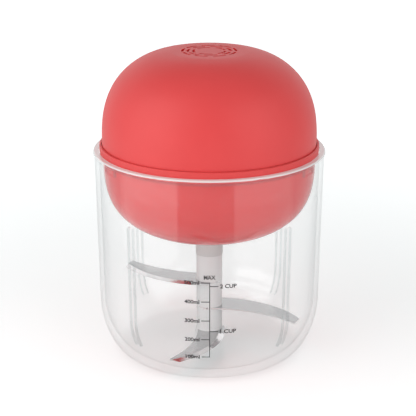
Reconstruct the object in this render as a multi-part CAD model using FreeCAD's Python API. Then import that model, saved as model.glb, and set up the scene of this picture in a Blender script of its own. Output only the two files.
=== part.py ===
"""Cordless press-top food chopper: a clear bowl, a three-level blade column and a domed drive head.

Units are millimetres. +Z is up, the front of the bowl, which carries the scale, faces -Y,
and the origin is the centre of the bowl's underside.
"""
import FreeCAD
import Part
import os
from math import acos, cos, pi, radians, sin, sqrt, tan

V = FreeCAD.Vector
UP = V(0, 0, 1)
CENTRE = V(0, 0, 0)

# ---------------------------------------------------------------- clearances
RUN = 0.08                # radial play of a shaft, pin or post in its bore
SLIDE_GAP = 0.3           # play between faces that slide or spin past each other
END_GAP = 0.3             # end play of a spinning piece
PRESS_TRAVEL = 3.0        # how far the dome goes down

# ---------------------------------------------------------------- main sizes
BOWL_HEIGHT = 111.4
DOME_R = 56.0             # outer radius of the pressing dome's skirt
SEAT_DEPTH = 3.7          # the head rests this far below the rim
CUP_DEPTH = 43.45         # the cup hangs this far below the head's seat
COLLAR_RISE = 3.3         # the collar stands this far above the rim
DOME_RISE = 48.05         # the dome's crown above the collar
DOME_SKIRT = 2.35         # upright part of the dome above the collar

# ---------------------------------------------------------------- collar and seal
COLLAR_WALL = 0.8
BEAD_WALL = 1.05          # the collar's wall where it shows above the rim
BEAD_ROUND = 0.45
BEAD_CLEAR = 0.2          # bead underside above the rim
COLLAR_FLANGE = 1.1
MOUTH_GAP = 0.65          # play between the collar and the bowl's mouth
SEAL_H = 1.2
SEAL_PROUD = 0.1          # the seal stands out past the collar

# ---------------------------------------------------------------- bowl
BOWL_WALL = 2.3
BOWL_DRAFT = 0.0169       # wall lean, mm per mm of height
BOWL_FLOOR = 3.0
BOWL_CORNER_W = 15.6      # rounded foot of the wall, outside
BOWL_CORNER_H = 29.9
BOWL_CORNER_POWER = 1.82
BOWL_FLOOR_R = 38.75      # flat part of the floor, inside
BOWL_RECESS_R = 25.0      # shallow recess under the floor
BOWL_RECESS = 0.7
LIP_PROUD = 0.65          # rounded lip round the rim
LIP_H = 2.0
RIB_COUNT = 4
RIB_FIRST = 45.0
RIB_W = 3.5
RIB_DEPTH = 2.2
RIB_LOW = 14.5
RIB_HIGH = 80.5
LUG_TURN = 62.0           # rest lugs lie this far either side of the front and of the back
LUG_W = 10.5
LUG_H = 3.4
LUG_LAP = 1.1             # how far a lug reaches under the seal
NOTCH_TURN = 26.0
NOTCH_W = 1.4
NOTCH_H = 1.1
NOTCH_DEEP = 0.4
PIN_R = 2.5
PIN_SEAT = 0.9            # floor left under the pin
PIN_RISE = 25.2           # the pin's top above the column's foot
PIN_ROUND = 1.0
PIN_BOSS_R = 5.6
PIN_BOSS_H = 3.2

# ---------------------------------------------------------------- blade column
WASHER_H = 0.6
COLUMN_R = 7.0
COLUMN_BORE = 4.3
COLUMN_FOOT_R = 7.7
COLUMN_FOOT_H = 5.0
COLUMN_FOOT_RIM = 1.0     # upright edge at the foot
BUSHING_H = 6.0
BUSHING_RISE = 19.0       # upper bushing's underside above the column's foot
SOCKET_H = 11.15
SOCKET_R = 7.25
SOCKET_TOP_R = 8.3
SOCKET_FLARE = 4.0
SPIGOT_H = 6.0
DOG_FLATS = 6.9           # hexagon on the output shaft, across its flats
DOG_PLAY = 0.2
DOG_L = 9.5
BLADE_T = 0.8
BLADE_EYE_R = 7.05
BLADE_EYE_BORE = 5.7
LEAD_R = 52.2             # arc of a blade's ground front edge
LEAD_X = -0.3
LEAD_Y = -43.2
BACK_R = 66.5             # arc of its hollow rear edge
BACK_X = -4.0
BACK_Y = -73.2
BEVEL_W = 3.2
BEVEL_EDGE = 0.12         # thickness left at the ground edge
BEVEL_START = 9.5
UPPER_RISE = 31.4         # blades' top faces above the column's foot
MIDDLE_RISE = 16.8
LOWER_RISE = 3.2
UPPER_REACH = 50.5        # blades' tips from the axis
MIDDLE_REACH = 52.4
LOWER_REACH = 48.0
# name, rise, turn in degrees, outline scale, reach, whether it is ground on its upper side
BLADES = (
    ("upper_blade", UPPER_RISE, 178.0, 1.06, UPPER_REACH, True),
    ("middle_blade", MIDDLE_RISE, 0.5, 1.0, MIDDLE_REACH, False),
    ("lower_blade", LOWER_RISE, -83.8, 0.92, LOWER_REACH, True),
)

# ---------------------------------------------------------------- head shell and chassis
CUP_INSET = 0.4           # the cup's radius is this much under the dome's
CUP_UPRIGHT = 2.3         # the cup's curve starts this far above its top edge
CUP_WALL = 2.5
CUP_POWER_R = 2.43
CUP_POWER_Z = 3.37
PLATE_T = 2.5
PLATE_GAP = 1.1
CUP_BOSS_R = 4.0
CUP_BOSS_INSET = 2.2      # bosses inside the plate's edge
CUP_BOSS_COUNT = 4
CUP_BOSS_FIRST = 45.0
CUP_BOSS_FOOT = 20.0      # the screw bosses grow from this far under the plate
WEB_T = 2.0
CHASSIS_SCREW_R = 1.4
CHASSIS_SCREW_L = 11.0
HEAD_R = 2.8              # screw heads
HEAD_H = 1.8
DRIVE_SLOT_W = 0.8
DRIVE_SLOT_SHARE = 0.7    # the slot's reach as a share of the head
SHAFT_SEAL_R = 7.5
SHAFT_SEAL_H = 3.4
SHAFT_SEAL_RISE = 1.5     # cup floor left under the seal
SHAFT_GAP = 0.8
SEAL_BOSS_WALL = 3.0
SEAL_BOSS_RISE = 5.75     # gearbox seat above the cup's underside

# ---------------------------------------------------------------- press dome
DOME_WALL = 2.5
CROWN_FLAT_R = 18.0       # the crown is flat out to here
DOME_POWER_R = 1.91
DOME_POWER_Z = 2.54
SKIRT_SPARE = 0.5         # left under the skirt when the dome is down
GROOVE_R = 8.2            # innermost ring of the crown's grooves
GROOVE_PITCH = 2.8        # from ring to ring
GROOVE_COUNTS = (5, 7, 9)  # grooves in each ring
GROOVE_W = 1.3
GROOVE_DEEP = 1.1
GROOVE_SHARE = 0.62       # groove length as a share of its pitch
GROOVE_FIRST = 90.0
GROOVE_STAGGER = 15.0     # each ring starts this much further round
POST_IN = 4.0             # between a boss and the dome's wall
POST_FIRST = 30.0
POST_COUNT = 3
POST_R = 3.2
POST_BORE = 1.75
POST_H = 25.5
BOSS_R = 5.5
BOSS_RISE = 12.5          # boss mouth above the chassis plate
BOSS_SPARE = 1.5          # left over the post when the dome is down
SCREW_STOP_GAP = 0.05     # play under the chassis at the top of the travel
DOME_SCREW_R = 1.3
DOME_SCREW_BITE = 4.5
SPRING_WIRE_R = 0.4
SPRING_SIDES = 8          # flats round the wire
SPRING_R = 4.4
SPRING_TURNS = 5.5

# ---------------------------------------------------------------- gearbox
MODULE = 0.6
PRESSURE_ANGLE = radians(25)
SUN_TEETH = 12
PLANET_TEETH = 18
PLANET_COUNT = 3
ADDENDUM = 0.9            # in modules
DEDENDUM = 1.15           # in modules
BACKLASH = 0.08
GEAR_W = 6.5
SUN_PROUD = 1.0           # the pinion stands this far above the planets
GEARBOX_R = 18.0
GEARBOX_FLOOR = 3.0
GEARBOX_H = 17.0
FLANGE_R = 25.5
FLANGE_SCREW_AT = 21.8
FLANGE_BOSS_R = 3.6
FLANGE_FIRST = 90.0
FLANGE_COUNT = 3
FLANGE_SCREW_R = 1.25
FLANGE_SCREW_L = 6.2
FLANGE_HEAD_R = 2.4
FLANGE_HEAD_H = 1.6
OUT_SHAFT_R = 4.0
OUT_SPIGOT_R = 3.0
BUSH_WALL = 2.0
BUSH_FLANGE_R = 8.0
BUSH_FLANGE_H = 1.2
CLIP_R = 6.0
CLIP_T = 0.5
CLIP_DEEP = 0.5
CARRIER_R = 12.6
CARRIER_T = 2.6
PLANET_PIN_R = 1.5
PLANET_PIN_PROUD = 0.6
COVER_T = 2.5
COVER_SCREW_R = 0.8
COVER_SCREW_L = 9.0
COVER_HEAD_R = 1.35
COVER_HEAD_H = 1.0

# ---------------------------------------------------------------- motor
MOTOR_R = 13.9
MOTOR_WALL = 1.0
MOTOR_CAN_H = 35.5
MOTOR_CAP_H = 5.0
MOTOR_CAP_WALL = 2.0
MOTOR_SHAFT_R = 1.15
MOTOR_BUSH_R = 3.0
MOTOR_BUSH_H = 3.0
MOTOR_BUSH_WALL = 1.2
MOTOR_SCREW_AT = 8.0
MOTOR_SCREW_R = 1.2
MOTOR_SCREW_L = 5.5
MOTOR_HEAD_R = 2.1
MOTOR_HEAD_H = 1.3
ARMATURE_R = 8.6
ARMATURE_RISE = 7.0       # stack above the can's underside
ARMATURE_H = 20.0
ARMATURE_SLOTS = 5
ARMATURE_SLOT_W = 1.6
ARMATURE_SLOT_IN = 4.2
WINDING_H = 2.0
WINDING_INSET = 1.0
MAGNET_GAP = 0.5
MAGNET_OPEN = 3.0         # half the gap between the two magnets
MAGNET_LAP = 1.5
COMMUTATOR_R = 3.6
COMMUTATOR_H = 5.0
COMMUTATOR_DROP = 1.0     # its top is this far under the can's edge
COMMUTATOR_GROOVE_W = 0.4
COMMUTATOR_GROOVE = 0.5
BRUSH_W = 3.0
BRUSH_GAP = 0.1
BRUSH_MARGIN = 1.0        # commutator left bare above and below a brush
BRUSH_HOLDER_IN = 7.0
BRUSH_HOLDER_OUT = 9.0
TERMINAL_AT = 9.5
TERMINAL_H = 3.0
TERMINAL_W = 2.4
TERMINAL_T = 0.6

# ---------------------------------------------------------------- cells, board and switch
CELL_R = 9.15
CELL_H = 65.0
CELL_NUB_R = 3.0
CELL_NUB_H = 0.8
CELL_IN = 26.0            # a cell's axis inside the dome's radius
CELL_RISE = 13.5          # cells above the cup's underside
WELL_WALL = 1.3
WELL_FLOOR = 1.5
BOARD_T = 1.6
BOARD_W = 28.0
BOARD_H = 32.0
RAIL_H = 5.0
RAIL_WALL = 1.6
USB_W = 9.0
USB_H = 3.3
USB_RISE = 9.5            # socket above the chassis plate
USB_WALL = 0.4
USB_ROUND = 1.5
USB_END_WALL = 1.0
USB_TONGUE_IN = 1.0       # tongue set in from the mouth's ends and front
USB_L = 10.7              # from the board to the socket's mouth
USB_DEEP = 6.5
USB_TONGUE = 0.7
SWITCH_OUT = 10.6         # between the motor and the switch
SWITCH_W = 20.0
SWITCH_D = 7.0
SWITCH_RISE = 11.5
SWITCH_H = 10.0
PLUNGER_R = 1.4
PLUNGER_PROUD = 3.6
PLUNGER_IN = 4.0
ACTUATOR_R = 2.6
LEAD_WIRE_R = 0.7
SWITCH_LEAD_X = 5.0
SWITCH_LEAD_DROP = 1.0
CELL_LEAD_IN = 1.0        # cell leads end this far inside the board's edge

# ---------------------------------------------------------------- charge port
PORT_W = 16.0
PORT_DROP = 1.6           # hinge line below the socket
PORT_H = 11.0
PORT_SEAT_IN = 3.1        # flat that the cover closes on, inside the skirt's radius
PORT_HINGE_IN = 1.0
KNUCKLE_R = 1.0
KNUCKLE_GAP = 0.4
COVER_GAP = 0.05
PAD_T = 2.5
PAD_MARGIN = 3.0
SLOT_GAP = 0.6
USB_SETBACK = 0.6         # socket mouth behind the cover's seat

# ---------------------------------------------------------------- radii worked out
COLLAR_IN = DOME_R + SLIDE_GAP
COLLAR_LOW_R = COLLAR_IN + COLLAR_WALL
COLLAR_R = COLLAR_IN + BEAD_WALL
SEAL_R = COLLAR_LOW_R + SEAL_PROUD
BOWL_RIM_R = COLLAR_LOW_R + MOUTH_GAP + BOWL_WALL
CUP_R = DOME_R - CUP_INSET
DOME_IN = DOME_R - DOME_WALL
POST_AT = DOME_IN - BOSS_R - POST_IN
PLATE_R = DOME_IN - PLATE_GAP
CUP_BOSS_AT = PLATE_R - CUP_BOSS_R - CUP_BOSS_INSET
FLANGE_IN = CUP_BOSS_AT + CUP_BOSS_R
RING_TEETH = SUN_TEETH + 2 * PLANET_TEETH
PLANET_AT = MODULE * (SUN_TEETH + PLANET_TEETH) / 2
RING_ROOT_R = MODULE * (RING_TEETH / 2 + DEDENDUM)
COVER_SCREW_AT = (RING_ROOT_R + GEARBOX_R) / 2
WELL_IN = CELL_R + SLIDE_GAP
CELL_AT = DOME_R - CELL_IN
SWITCH_Y = -(MOTOR_R + SWITCH_OUT + SWITCH_D / 2)
PORT_SEAT_Y = DOME_R - PORT_SEAT_IN
PORT_HINGE_Y = DOME_R - PORT_HINGE_IN
USB_REACH = PORT_SEAT_Y - USB_SETBACK
BOARD_Y = USB_REACH - USB_L - BOARD_T

# ---------------------------------------------------------------- heights worked out
PIN_BOSS_TOP = BOWL_FLOOR + PIN_BOSS_H
COLUMN_LOW = PIN_BOSS_TOP + WASHER_H
PIN_TOP = COLUMN_LOW + PIN_RISE
HEAD_SEAT = BOWL_HEIGHT - SEAT_DEPTH
COLLAR_LOW = HEAD_SEAT + SEAL_H
PLATE_LOW = COLLAR_LOW + COLLAR_FLANGE
PLATE_TOP = PLATE_LOW + PLATE_T
COLLAR_TOP = BOWL_HEIGHT + COLLAR_RISE
BEAD_LOW = BOWL_HEIGHT + BEAD_CLEAR
CUP_LOW = HEAD_SEAT - CUP_DEPTH
CUP_SPRING = COLLAR_LOW + CUP_UPRIGHT
SOCKET_TOP = CUP_LOW - END_GAP
COLUMN_TOP = SOCKET_TOP - SOCKET_H
GEARBOX_LOW = CUP_LOW + SEAL_BOSS_RISE
GEARBOX_TOP = GEARBOX_LOW + GEARBOX_H
GEARBOX_IN = GEARBOX_LOW + GEARBOX_FLOOR
CARRIER_LOW = GEARBOX_IN + BUSH_FLANGE_H + END_GAP
CARRIER_TOP = CARRIER_LOW + CARRIER_T
GEARS_LOW = CARRIER_TOP + END_GAP
GEARS_TOP = GEARS_LOW + GEAR_W
MOTOR_LOW = GEARBOX_TOP + COVER_T
MOTOR_CAN_TOP = MOTOR_LOW + MOTOR_CAN_H
MOTOR_TOP = MOTOR_CAN_TOP + MOTOR_CAP_H
ARMATURE_LOW = MOTOR_LOW + ARMATURE_RISE
ARMATURE_TOP = ARMATURE_LOW + ARMATURE_H
COMMUTATOR_LOW = MOTOR_CAN_TOP - COMMUTATOR_H - COMMUTATOR_DROP
CELL_LOW = CUP_LOW + CELL_RISE
CELL_TOP = CELL_LOW + CELL_H
DOME_TOP = COLLAR_TOP + DOME_RISE
DOME_SPRING = COLLAR_TOP + DOME_SKIRT
SKIRT_LOW = PLATE_LOW + PRESS_TRAVEL + SKIRT_SPARE
POST_TOP = PLATE_TOP + POST_H
BOSS_LOW = PLATE_TOP + BOSS_RISE
BOSS_WEB = POST_TOP + PRESS_TRAVEL + BOSS_SPARE
DOME_SCREW_TOP = BOSS_WEB + DOME_SCREW_BITE
BOARD_TOP = PLATE_TOP + BOARD_H
USB_LOW = PLATE_TOP + USB_RISE
USB_TOP = USB_LOW + USB_H
SWITCH_LOW = PLATE_TOP + SWITCH_RISE
SWITCH_TOP = SWITCH_LOW + SWITCH_H
PLUNGER_TOP = SWITCH_TOP + PLUNGER_PROUD
PORT_LOW = USB_LOW - PORT_DROP
PORT_TOP = PORT_LOW + PORT_H
FAR = 200.0               # reaches past the whole object
OVER = 1.0                # cuts and joined stubs run this far past a face
TINY = 0.01


# ================================================================ shape helpers
def disc(radius, low, high, x=0.0, y=0.0):
    """Upright round bar from height low to height high."""
    return Part.makeCylinder(radius, high - low, V(x, y, low))


def tube(radius, bore, low, high, x=0.0, y=0.0):
    """Upright pipe."""
    return disc(radius, low, high, x, y).cut(disc(bore, low - OVER, high + OVER, x, y))


def block(x_low, x_high, y_low, y_high, low, high):
    """Box between two corners."""
    return Part.makeBox(x_high - x_low, y_high - y_low, high - low, V(x_low, y_low, low))


def rod_x(radius, half_length, y, z):
    """Round bar along X, centred on x = 0."""
    return Part.makeCylinder(radius, 2 * half_length, V(-half_length, y, z), V(1, 0, 0))


def wire_rod(start, end):
    """Straight piece of insulated wire."""
    run = end - start
    return Part.makeCylinder(LEAD_WIRE_R, run.Length, start, run)


def hexagon(flats, low, high):
    """Upright six-sided bar, measured across its flats."""
    corner = flats / sqrt(3)
    points = [V(corner * cos(k * pi / 3), corner * sin(k * pi / 3), low) for k in range(7)]
    return Part.Face(Part.makePolygon(points)).extrude(UP * (high - low))


def screw(shank_r, length, head_r, head_h, seat, x=0.0, y=0.0, down=True):
    """Cross-slot screw whose head sits at height seat and whose shank points down or up."""
    way = -1 if down else 1
    shank = Part.makeCylinder(shank_r, length, V(x, y, seat), UP * way)
    head = Part.makeCylinder(head_r, head_h, V(x, y, seat), UP * -way)
    body = shank.fuse(head).removeSplitter()
    slot_low = seat - way * head_h / 2
    slot_high = seat - way * (head_h + OVER)
    low, high = min(slot_low, slot_high), max(slot_low, slot_high)
    half, wide = head_r * DRIVE_SLOT_SHARE, DRIVE_SLOT_W / 2
    cross = block(x - half, x + half, y - wide, y + wide, low, high)
    return body.cut(cross).cut(block(x - wide, x + wide, y - half, y + half, low, high))


def turned(shape, angle):
    """Copy of the shape, turned about the upright axis."""
    copy = shape.copy()
    copy.rotate(CENTRE, UP, angle)
    return copy


def around(shape, count, first=0.0):
    """Copies of a shape drawn on +X, spread evenly round the axis."""
    return [turned(shape, first + k * 360.0 / count) for k in range(count)]


def fused(shapes):
    """One solid from shapes that touch or overlap."""
    return shapes[0].multiFuse(shapes[1:]).removeSplitter()


def without(shape, cuts):
    """The shape with each of the cuts taken out."""
    return shape.cut(Part.makeCompound(cuts))


def quarter(r_up, z_up, r_level, z_level, power_r, power_z, lean=0.0, steps=14):
    """Quarter of a super-ellipse, upright at its first end and level at its last."""
    points = []
    for k in range(steps + 1):
        turn = pi / 2 * k / steps
        across = max(cos(turn), 0.0) ** (2 / power_r)
        along = sin(turn) ** (2 / power_z)
        points.append(V(r_level + (r_up - r_level) * across, 0, z_up + (z_level - z_up) * along))
    rise = 1 if z_level > z_up else -1
    inward = 1 if r_level > r_up else -1
    curve = Part.BSplineCurve()
    curve.interpolate(Points=points, InitialTangent=V(lean, 0, 1) * rise, FinalTangent=V(inward, 0, 0))
    return curve.toShape()


def path(*points):
    """Straight edges through (radius, height) points."""
    corners = [V(r, 0, z) for r, z in points]
    return [Part.makeLine(a, b) for a, b in zip(corners, corners[1:])]


def spun(edges):
    """Solid of revolution from the edges of one closed half section."""
    face = Part.Face(Part.Wire(Part.sortEdges(edges)[0]))
    return face.revolve(CENTRE, UP, 360)


# ================================================================ bowl
def wall_radius(z):
    """Outer radius of the bowl's straight wall at a height."""
    return BOWL_RIM_R + (z - BOWL_HEIGHT) * BOWL_DRAFT


def bowl_cavity(inset=0.0):
    """Space inside the bowl, drawn in from its wall and floor by an inset."""
    bend = BOWL_CORNER_H
    inner = BOWL_WALL + inset
    floor = BOWL_FLOOR + inset
    top = BOWL_HEIGHT + OVER
    corner = quarter(wall_radius(bend) - inner, bend, BOWL_FLOOR_R, floor,
                     BOWL_CORNER_POWER, BOWL_CORNER_POWER, BOWL_DRAFT)
    rest = path((BOWL_FLOOR_R, floor), (0, floor), (0, top), (wall_radius(top) - inner, top),
                (wall_radius(bend) - inner, bend))
    return spun([corner] + rest)


def bowl_outside():
    """Full outer form of the bowl, with its rim lip."""
    bend = BOWL_CORNER_H
    flat_r = wall_radius(bend) - BOWL_CORNER_W
    lip_low = BOWL_HEIGHT - LIP_H
    lip_mid = BOWL_HEIGHT - LIP_H / 2
    corner = quarter(wall_radius(bend), bend, flat_r, 0,
                     BOWL_CORNER_POWER, BOWL_CORNER_POWER, BOWL_DRAFT)
    lip = Part.Arc(V(BOWL_RIM_R, 0, BOWL_HEIGHT), V(wall_radius(lip_mid) + LIP_PROUD, 0, lip_mid),
                   V(wall_radius(lip_low), 0, lip_low)).toShape()
    floor = path((flat_r, 0), (0, 0), (0, BOWL_HEIGHT), (BOWL_RIM_R, BOWL_HEIGHT))
    wall = path((wall_radius(lip_low), lip_low), (wall_radius(bend), bend))
    return spun([corner] + floor + [lip] + wall)


def at_corners(shape, turn):
    """Four copies, turned either way from the front and from the back."""
    return [turned(shape, facing + side * turn) for facing in (-90, 90) for side in (-1, 1)]


def make_bowl():
    """Clear bowl with its ribs, rest lugs, locating notches and pin boss."""
    cavity = bowl_cavity()
    rib_band = cavity.cut(bowl_cavity(RIB_DEPTH))
    rib_slab = block(0, BOWL_RIM_R, -RIB_W / 2, RIB_W / 2, RIB_LOW, RIB_HIGH)
    ribs = [rib_band.common(slab) for slab in around(rib_slab, RIB_COUNT, RIB_FIRST)]
    lug_slab = block(0, BOWL_RIM_R, -LUG_W / 2, LUG_W / 2, HEAD_SEAT - LUG_H, HEAD_SEAT)
    lug_slab = lug_slab.cut(disc(SEAL_R - LUG_LAP, 0, FAR))
    lugs = [slab.common(cavity) for slab in at_corners(lug_slab, LUG_TURN)]
    lip_mid = BOWL_HEIGHT - LIP_H / 2
    notch = block(BOWL_RIM_R + LIP_PROUD - NOTCH_DEEP, BOWL_RIM_R + LIP_H, -NOTCH_W / 2,
                  NOTCH_W / 2, lip_mid - NOTCH_H / 2, lip_mid + NOTCH_H / 2)
    boss = disc(PIN_BOSS_R, BOWL_RECESS + PIN_SEAT, PIN_BOSS_TOP)
    bowl = fused([bowl_outside().cut(cavity), boss] + ribs + lugs)
    recess = disc(BOWL_RECESS_R, -OVER, BOWL_RECESS)
    pin_hole = disc(PIN_R, BOWL_RECESS + PIN_SEAT, FAR)
    return without(bowl, [recess, pin_hole] + at_corners(notch, NOTCH_TURN))


def make_spindle_pin():
    """Steel pin fixed in the bowl's boss, with a rounded top."""
    pin = disc(PIN_R, BOWL_RECESS + PIN_SEAT, PIN_TOP)
    rim = [edge for edge in pin.Edges if edge.BoundBox.ZMin > PIN_TOP - TINY]
    return pin.makeFillet(PIN_ROUND, rim)


# ================================================================ blades
def make_blade(rise, turn, scale, reach, ground_above):
    """Curved stamped blade with an eye in the column and a front edge ground on one side."""
    top = COLUMN_LOW + rise
    low = top - BLADE_T
    side, edge, past = top, low + BEVEL_EDGE, top + OVER
    if not ground_above:
        side, edge, past = low, top - BEVEL_EDGE, low - OVER
    lead_r = LEAD_R * scale
    sheet = disc(lead_r, low, top, LEAD_X * scale, LEAD_Y * scale)
    sheet = sheet.cut(disc(BACK_R * scale, low - OVER, top + OVER, BACK_X * scale, BACK_Y * scale))
    sheet = sheet.common(disc(reach, low, top)).common(block(0, reach, -reach, reach, low, top))
    corners = ((lead_r - BEVEL_W, side), (lead_r, edge), (lead_r + OVER, edge),
               (lead_r + OVER, past), (lead_r - BEVEL_W, past), (lead_r - BEVEL_W, side))
    grind = spun(path(*corners))
    grind.translate(V(LEAD_X * scale, LEAD_Y * scale, 0))
    grind = grind.common(block(BEVEL_START, reach, -reach, reach, low - OVER, top + OVER))
    blade = fused([sheet.cut(grind), disc(BLADE_EYE_R, low, top)])
    return turned(blade.cut(disc(BLADE_EYE_BORE, low - OVER, top + OVER)), turn)


def make_column(blades):
    """Column moulded round the blades' eyes, with a wider foot."""
    foot_top = COLUMN_LOW + COLUMN_FOOT_H
    body = spun(path((COLUMN_BORE, COLUMN_LOW), (COLUMN_FOOT_R, COLUMN_LOW),
                     (COLUMN_FOOT_R, COLUMN_LOW + COLUMN_FOOT_RIM), (COLUMN_R, foot_top),
                     (COLUMN_R, COLUMN_TOP), (COLUMN_BORE, COLUMN_TOP), (COLUMN_BORE, COLUMN_LOW)))
    return without(body, list(blades))


def make_pin_bushings():
    """Bronze bushings in the column's bore, one low and one high on the pin."""
    lows = (COLUMN_LOW, COLUMN_LOW + BUSHING_RISE)
    return Part.makeCompound([tube(COLUMN_BORE, PIN_R + RUN, low, low + BUSHING_H) for low in lows])


def make_drive_socket():
    """Flared head of the column with the six-sided hole that the drive dog enters."""
    flare = SOCKET_TOP - SOCKET_FLARE
    spigot = COLUMN_TOP - SPIGOT_H
    body = spun(path((0, spigot), (COLUMN_BORE, spigot), (COLUMN_BORE, COLUMN_TOP),
                     (SOCKET_R, COLUMN_TOP), (SOCKET_R, flare), (SOCKET_TOP_R, SOCKET_TOP),
                     (0, SOCKET_TOP), (0, spigot)))
    hole_low = CUP_LOW - DOG_L - END_GAP
    return body.cut(hexagon(DOG_FLATS + DOG_PLAY, hole_low, SOCKET_TOP + OVER))


def make_thrust_washer():
    """Slippery washer that the column turns on."""
    return tube(PIN_BOSS_R, PIN_R + RUN, PIN_BOSS_TOP, COLUMN_LOW)


# ================================================================ head shell
def cup_solid(inset=0.0):
    """Full form of the cup, drawn in from its outside by an inset."""
    top = COLLAR_LOW + (OVER if inset else 0)
    radius = CUP_R - inset
    low = CUP_LOW + inset
    curve = quarter(radius, CUP_SPRING, 0, low, CUP_POWER_R, CUP_POWER_Z)
    whole = spun([curve] + path((0, low), (0, CUP_SPRING), (radius, CUP_SPRING)))
    return whole.common(disc(FAR, 0, top))


def make_lower_housing():
    """Cup that holds the motor and gearbox, with screw bosses and a shaft seal pocket."""
    outside = cup_solid()
    shell = outside.cut(cup_solid(CUP_WALL))
    boss_foot = PLATE_LOW - CUP_BOSS_FOOT - CHASSIS_SCREW_L
    post = disc(CUP_BOSS_R, boss_foot, COLLAR_LOW, CUP_BOSS_AT)
    web = block(CUP_BOSS_AT, CUP_R, -WEB_T / 2, WEB_T / 2, boss_foot, COLLAR_LOW)
    bosses = [piece.common(outside) for piece in around(post.fuse(web), CUP_BOSS_COUNT, CUP_BOSS_FIRST)]
    stub = disc(CUP_BOSS_R, COLLAR_LOW - OVER, PLATE_LOW, CUP_BOSS_AT)
    stubs = around(stub, CUP_BOSS_COUNT, CUP_BOSS_FIRST)
    feet = around(disc(FLANGE_BOSS_R, CUP_LOW, GEARBOX_LOW, FLANGE_SCREW_AT), FLANGE_COUNT, FLANGE_FIRST)
    feet = [foot.common(disc(FAR, CUP_LOW + CUP_WALL, GEARBOX_LOW)) for foot in feet]
    neck = disc(SHAFT_SEAL_R + SEAL_BOSS_WALL, CUP_LOW + CUP_WALL / 2, GEARBOX_LOW)
    housing = fused([shell, neck] + bosses + stubs + feet)
    screw_low = GEARBOX_IN - FLANGE_SCREW_L
    pilot = disc(CHASSIS_SCREW_R, PLATE_TOP - CHASSIS_SCREW_L, FAR, CUP_BOSS_AT)
    foot_pilot = disc(FLANGE_SCREW_R, screw_low, FAR, FLANGE_SCREW_AT)
    cuts = around(pilot, CUP_BOSS_COUNT, CUP_BOSS_FIRST) + around(foot_pilot, FLANGE_COUNT, FLANGE_FIRST)
    cuts.append(disc(SHAFT_SEAL_R, CUP_LOW + SHAFT_SEAL_RISE, FAR))
    cuts.append(disc(OUT_SHAFT_R + SHAFT_GAP, 0, FAR))
    return without(housing, cuts)


def make_head_collar():
    """Ring between cup and dome: a flange under the chassis and a bead that shows at the rim."""
    section = path((FLANGE_IN, COLLAR_LOW), (COLLAR_LOW_R, COLLAR_LOW), (COLLAR_LOW_R, BEAD_LOW),
                   (COLLAR_R, BEAD_LOW), (COLLAR_R, COLLAR_TOP), (COLLAR_IN, COLLAR_TOP),
                   (COLLAR_IN, PLATE_LOW), (FLANGE_IN, PLATE_LOW), (FLANGE_IN, COLLAR_LOW))
    ring = spun(section)
    edges = [edge for edge in ring.Edges
             if edge.BoundBox.XMax > COLLAR_R - TINY and edge.BoundBox.ZMin > COLLAR_TOP - TINY]
    return ring.makeFillet(BEAD_ROUND, edges)


def make_bowl_seal():
    """Soft ring under the collar that rests on the bowl's lugs."""
    return tube(SEAL_R, CUP_R + RUN, HEAD_SEAT, COLLAR_LOW)


def make_shaft_seal():
    """Rubber lip seal round the output shaft in the cup's floor."""
    low = CUP_LOW + SHAFT_SEAL_RISE
    return tube(SHAFT_SEAL_R, OUT_SHAFT_R + RUN, low, low + SHAFT_SEAL_H)


def make_chassis():
    """Plate across the head with cell wells, guide posts, switch stand and board rail."""
    wells = []
    cuts = [disc(MOTOR_R + SLIDE_GAP, 0, FAR)]
    for side in (-1, 1):
        x = side * CELL_AT
        wells.append(disc(WELL_IN + WELL_WALL, CELL_LOW - WELL_FLOOR, PLATE_TOP, x))
        cuts.append(disc(WELL_IN, CELL_LOW, FAR, x))
    posts = around(disc(POST_R, PLATE_LOW, POST_TOP, POST_AT), POST_COUNT, POST_FIRST)
    cuts += around(disc(POST_BORE, 0, FAR, POST_AT), POST_COUNT, POST_FIRST)
    cuts += around(disc(CHASSIS_SCREW_R + SLIDE_GAP, 0, FAR, CUP_BOSS_AT), CUP_BOSS_COUNT, CUP_BOSS_FIRST)
    stand = block(-SWITCH_W / 2, SWITCH_W / 2, SWITCH_Y - SWITCH_D / 2, SWITCH_Y + SWITCH_D / 2,
                  PLATE_LOW, SWITCH_LOW)
    rail = block(-BOARD_W / 2, BOARD_W / 2, BOARD_Y - RAIL_WALL, BOARD_Y + BOARD_T + RAIL_WALL,
                 PLATE_LOW, PLATE_TOP + RAIL_H)
    cuts.append(block(-BOARD_W / 2, BOARD_W / 2, BOARD_Y, BOARD_Y + BOARD_T, PLATE_TOP, FAR))
    return without(fused([disc(PLATE_R, PLATE_LOW, PLATE_TOP), stand, rail] + wells + posts), cuts)


def make_chassis_screws():
    """Screws through the chassis plate into the cup's bosses."""
    one = screw(CHASSIS_SCREW_R, CHASSIS_SCREW_L, HEAD_R, HEAD_H, PLATE_TOP, CUP_BOSS_AT)
    return Part.makeCompound(around(one, CUP_BOSS_COUNT, CUP_BOSS_FIRST))


# ================================================================ press dome
def dome_solid(inset=0.0):
    """Full form of the dome, drawn in from its outside by an inset."""
    radius = DOME_R - inset
    top = DOME_TOP - inset
    low = SKIRT_LOW - (OVER if inset else 0)
    curve = quarter(radius, DOME_SPRING, CROWN_FLAT_R, top, DOME_POWER_R, DOME_POWER_Z)
    rest = path((CROWN_FLAT_R, top), (0, top), (0, low), (radius, low), (radius, DOME_SPRING))
    return spun([curve] + rest)


def crown_groove(radius, count):
    """One curved groove of a ring, with round ends, sunk into the flat of the crown."""
    sweep = 360.0 / count * GROOVE_SHARE
    half = GROOVE_W / 2
    low = DOME_TOP - GROOVE_DEEP
    ring = tube(radius + half, radius - half, low, FAR)
    wedge = Part.makeCylinder(FAR, FAR, CENTRE, UP, sweep)
    start = disc(half, low, FAR, radius)
    return fused([ring.common(wedge), start, turned(start, sweep)])


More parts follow.
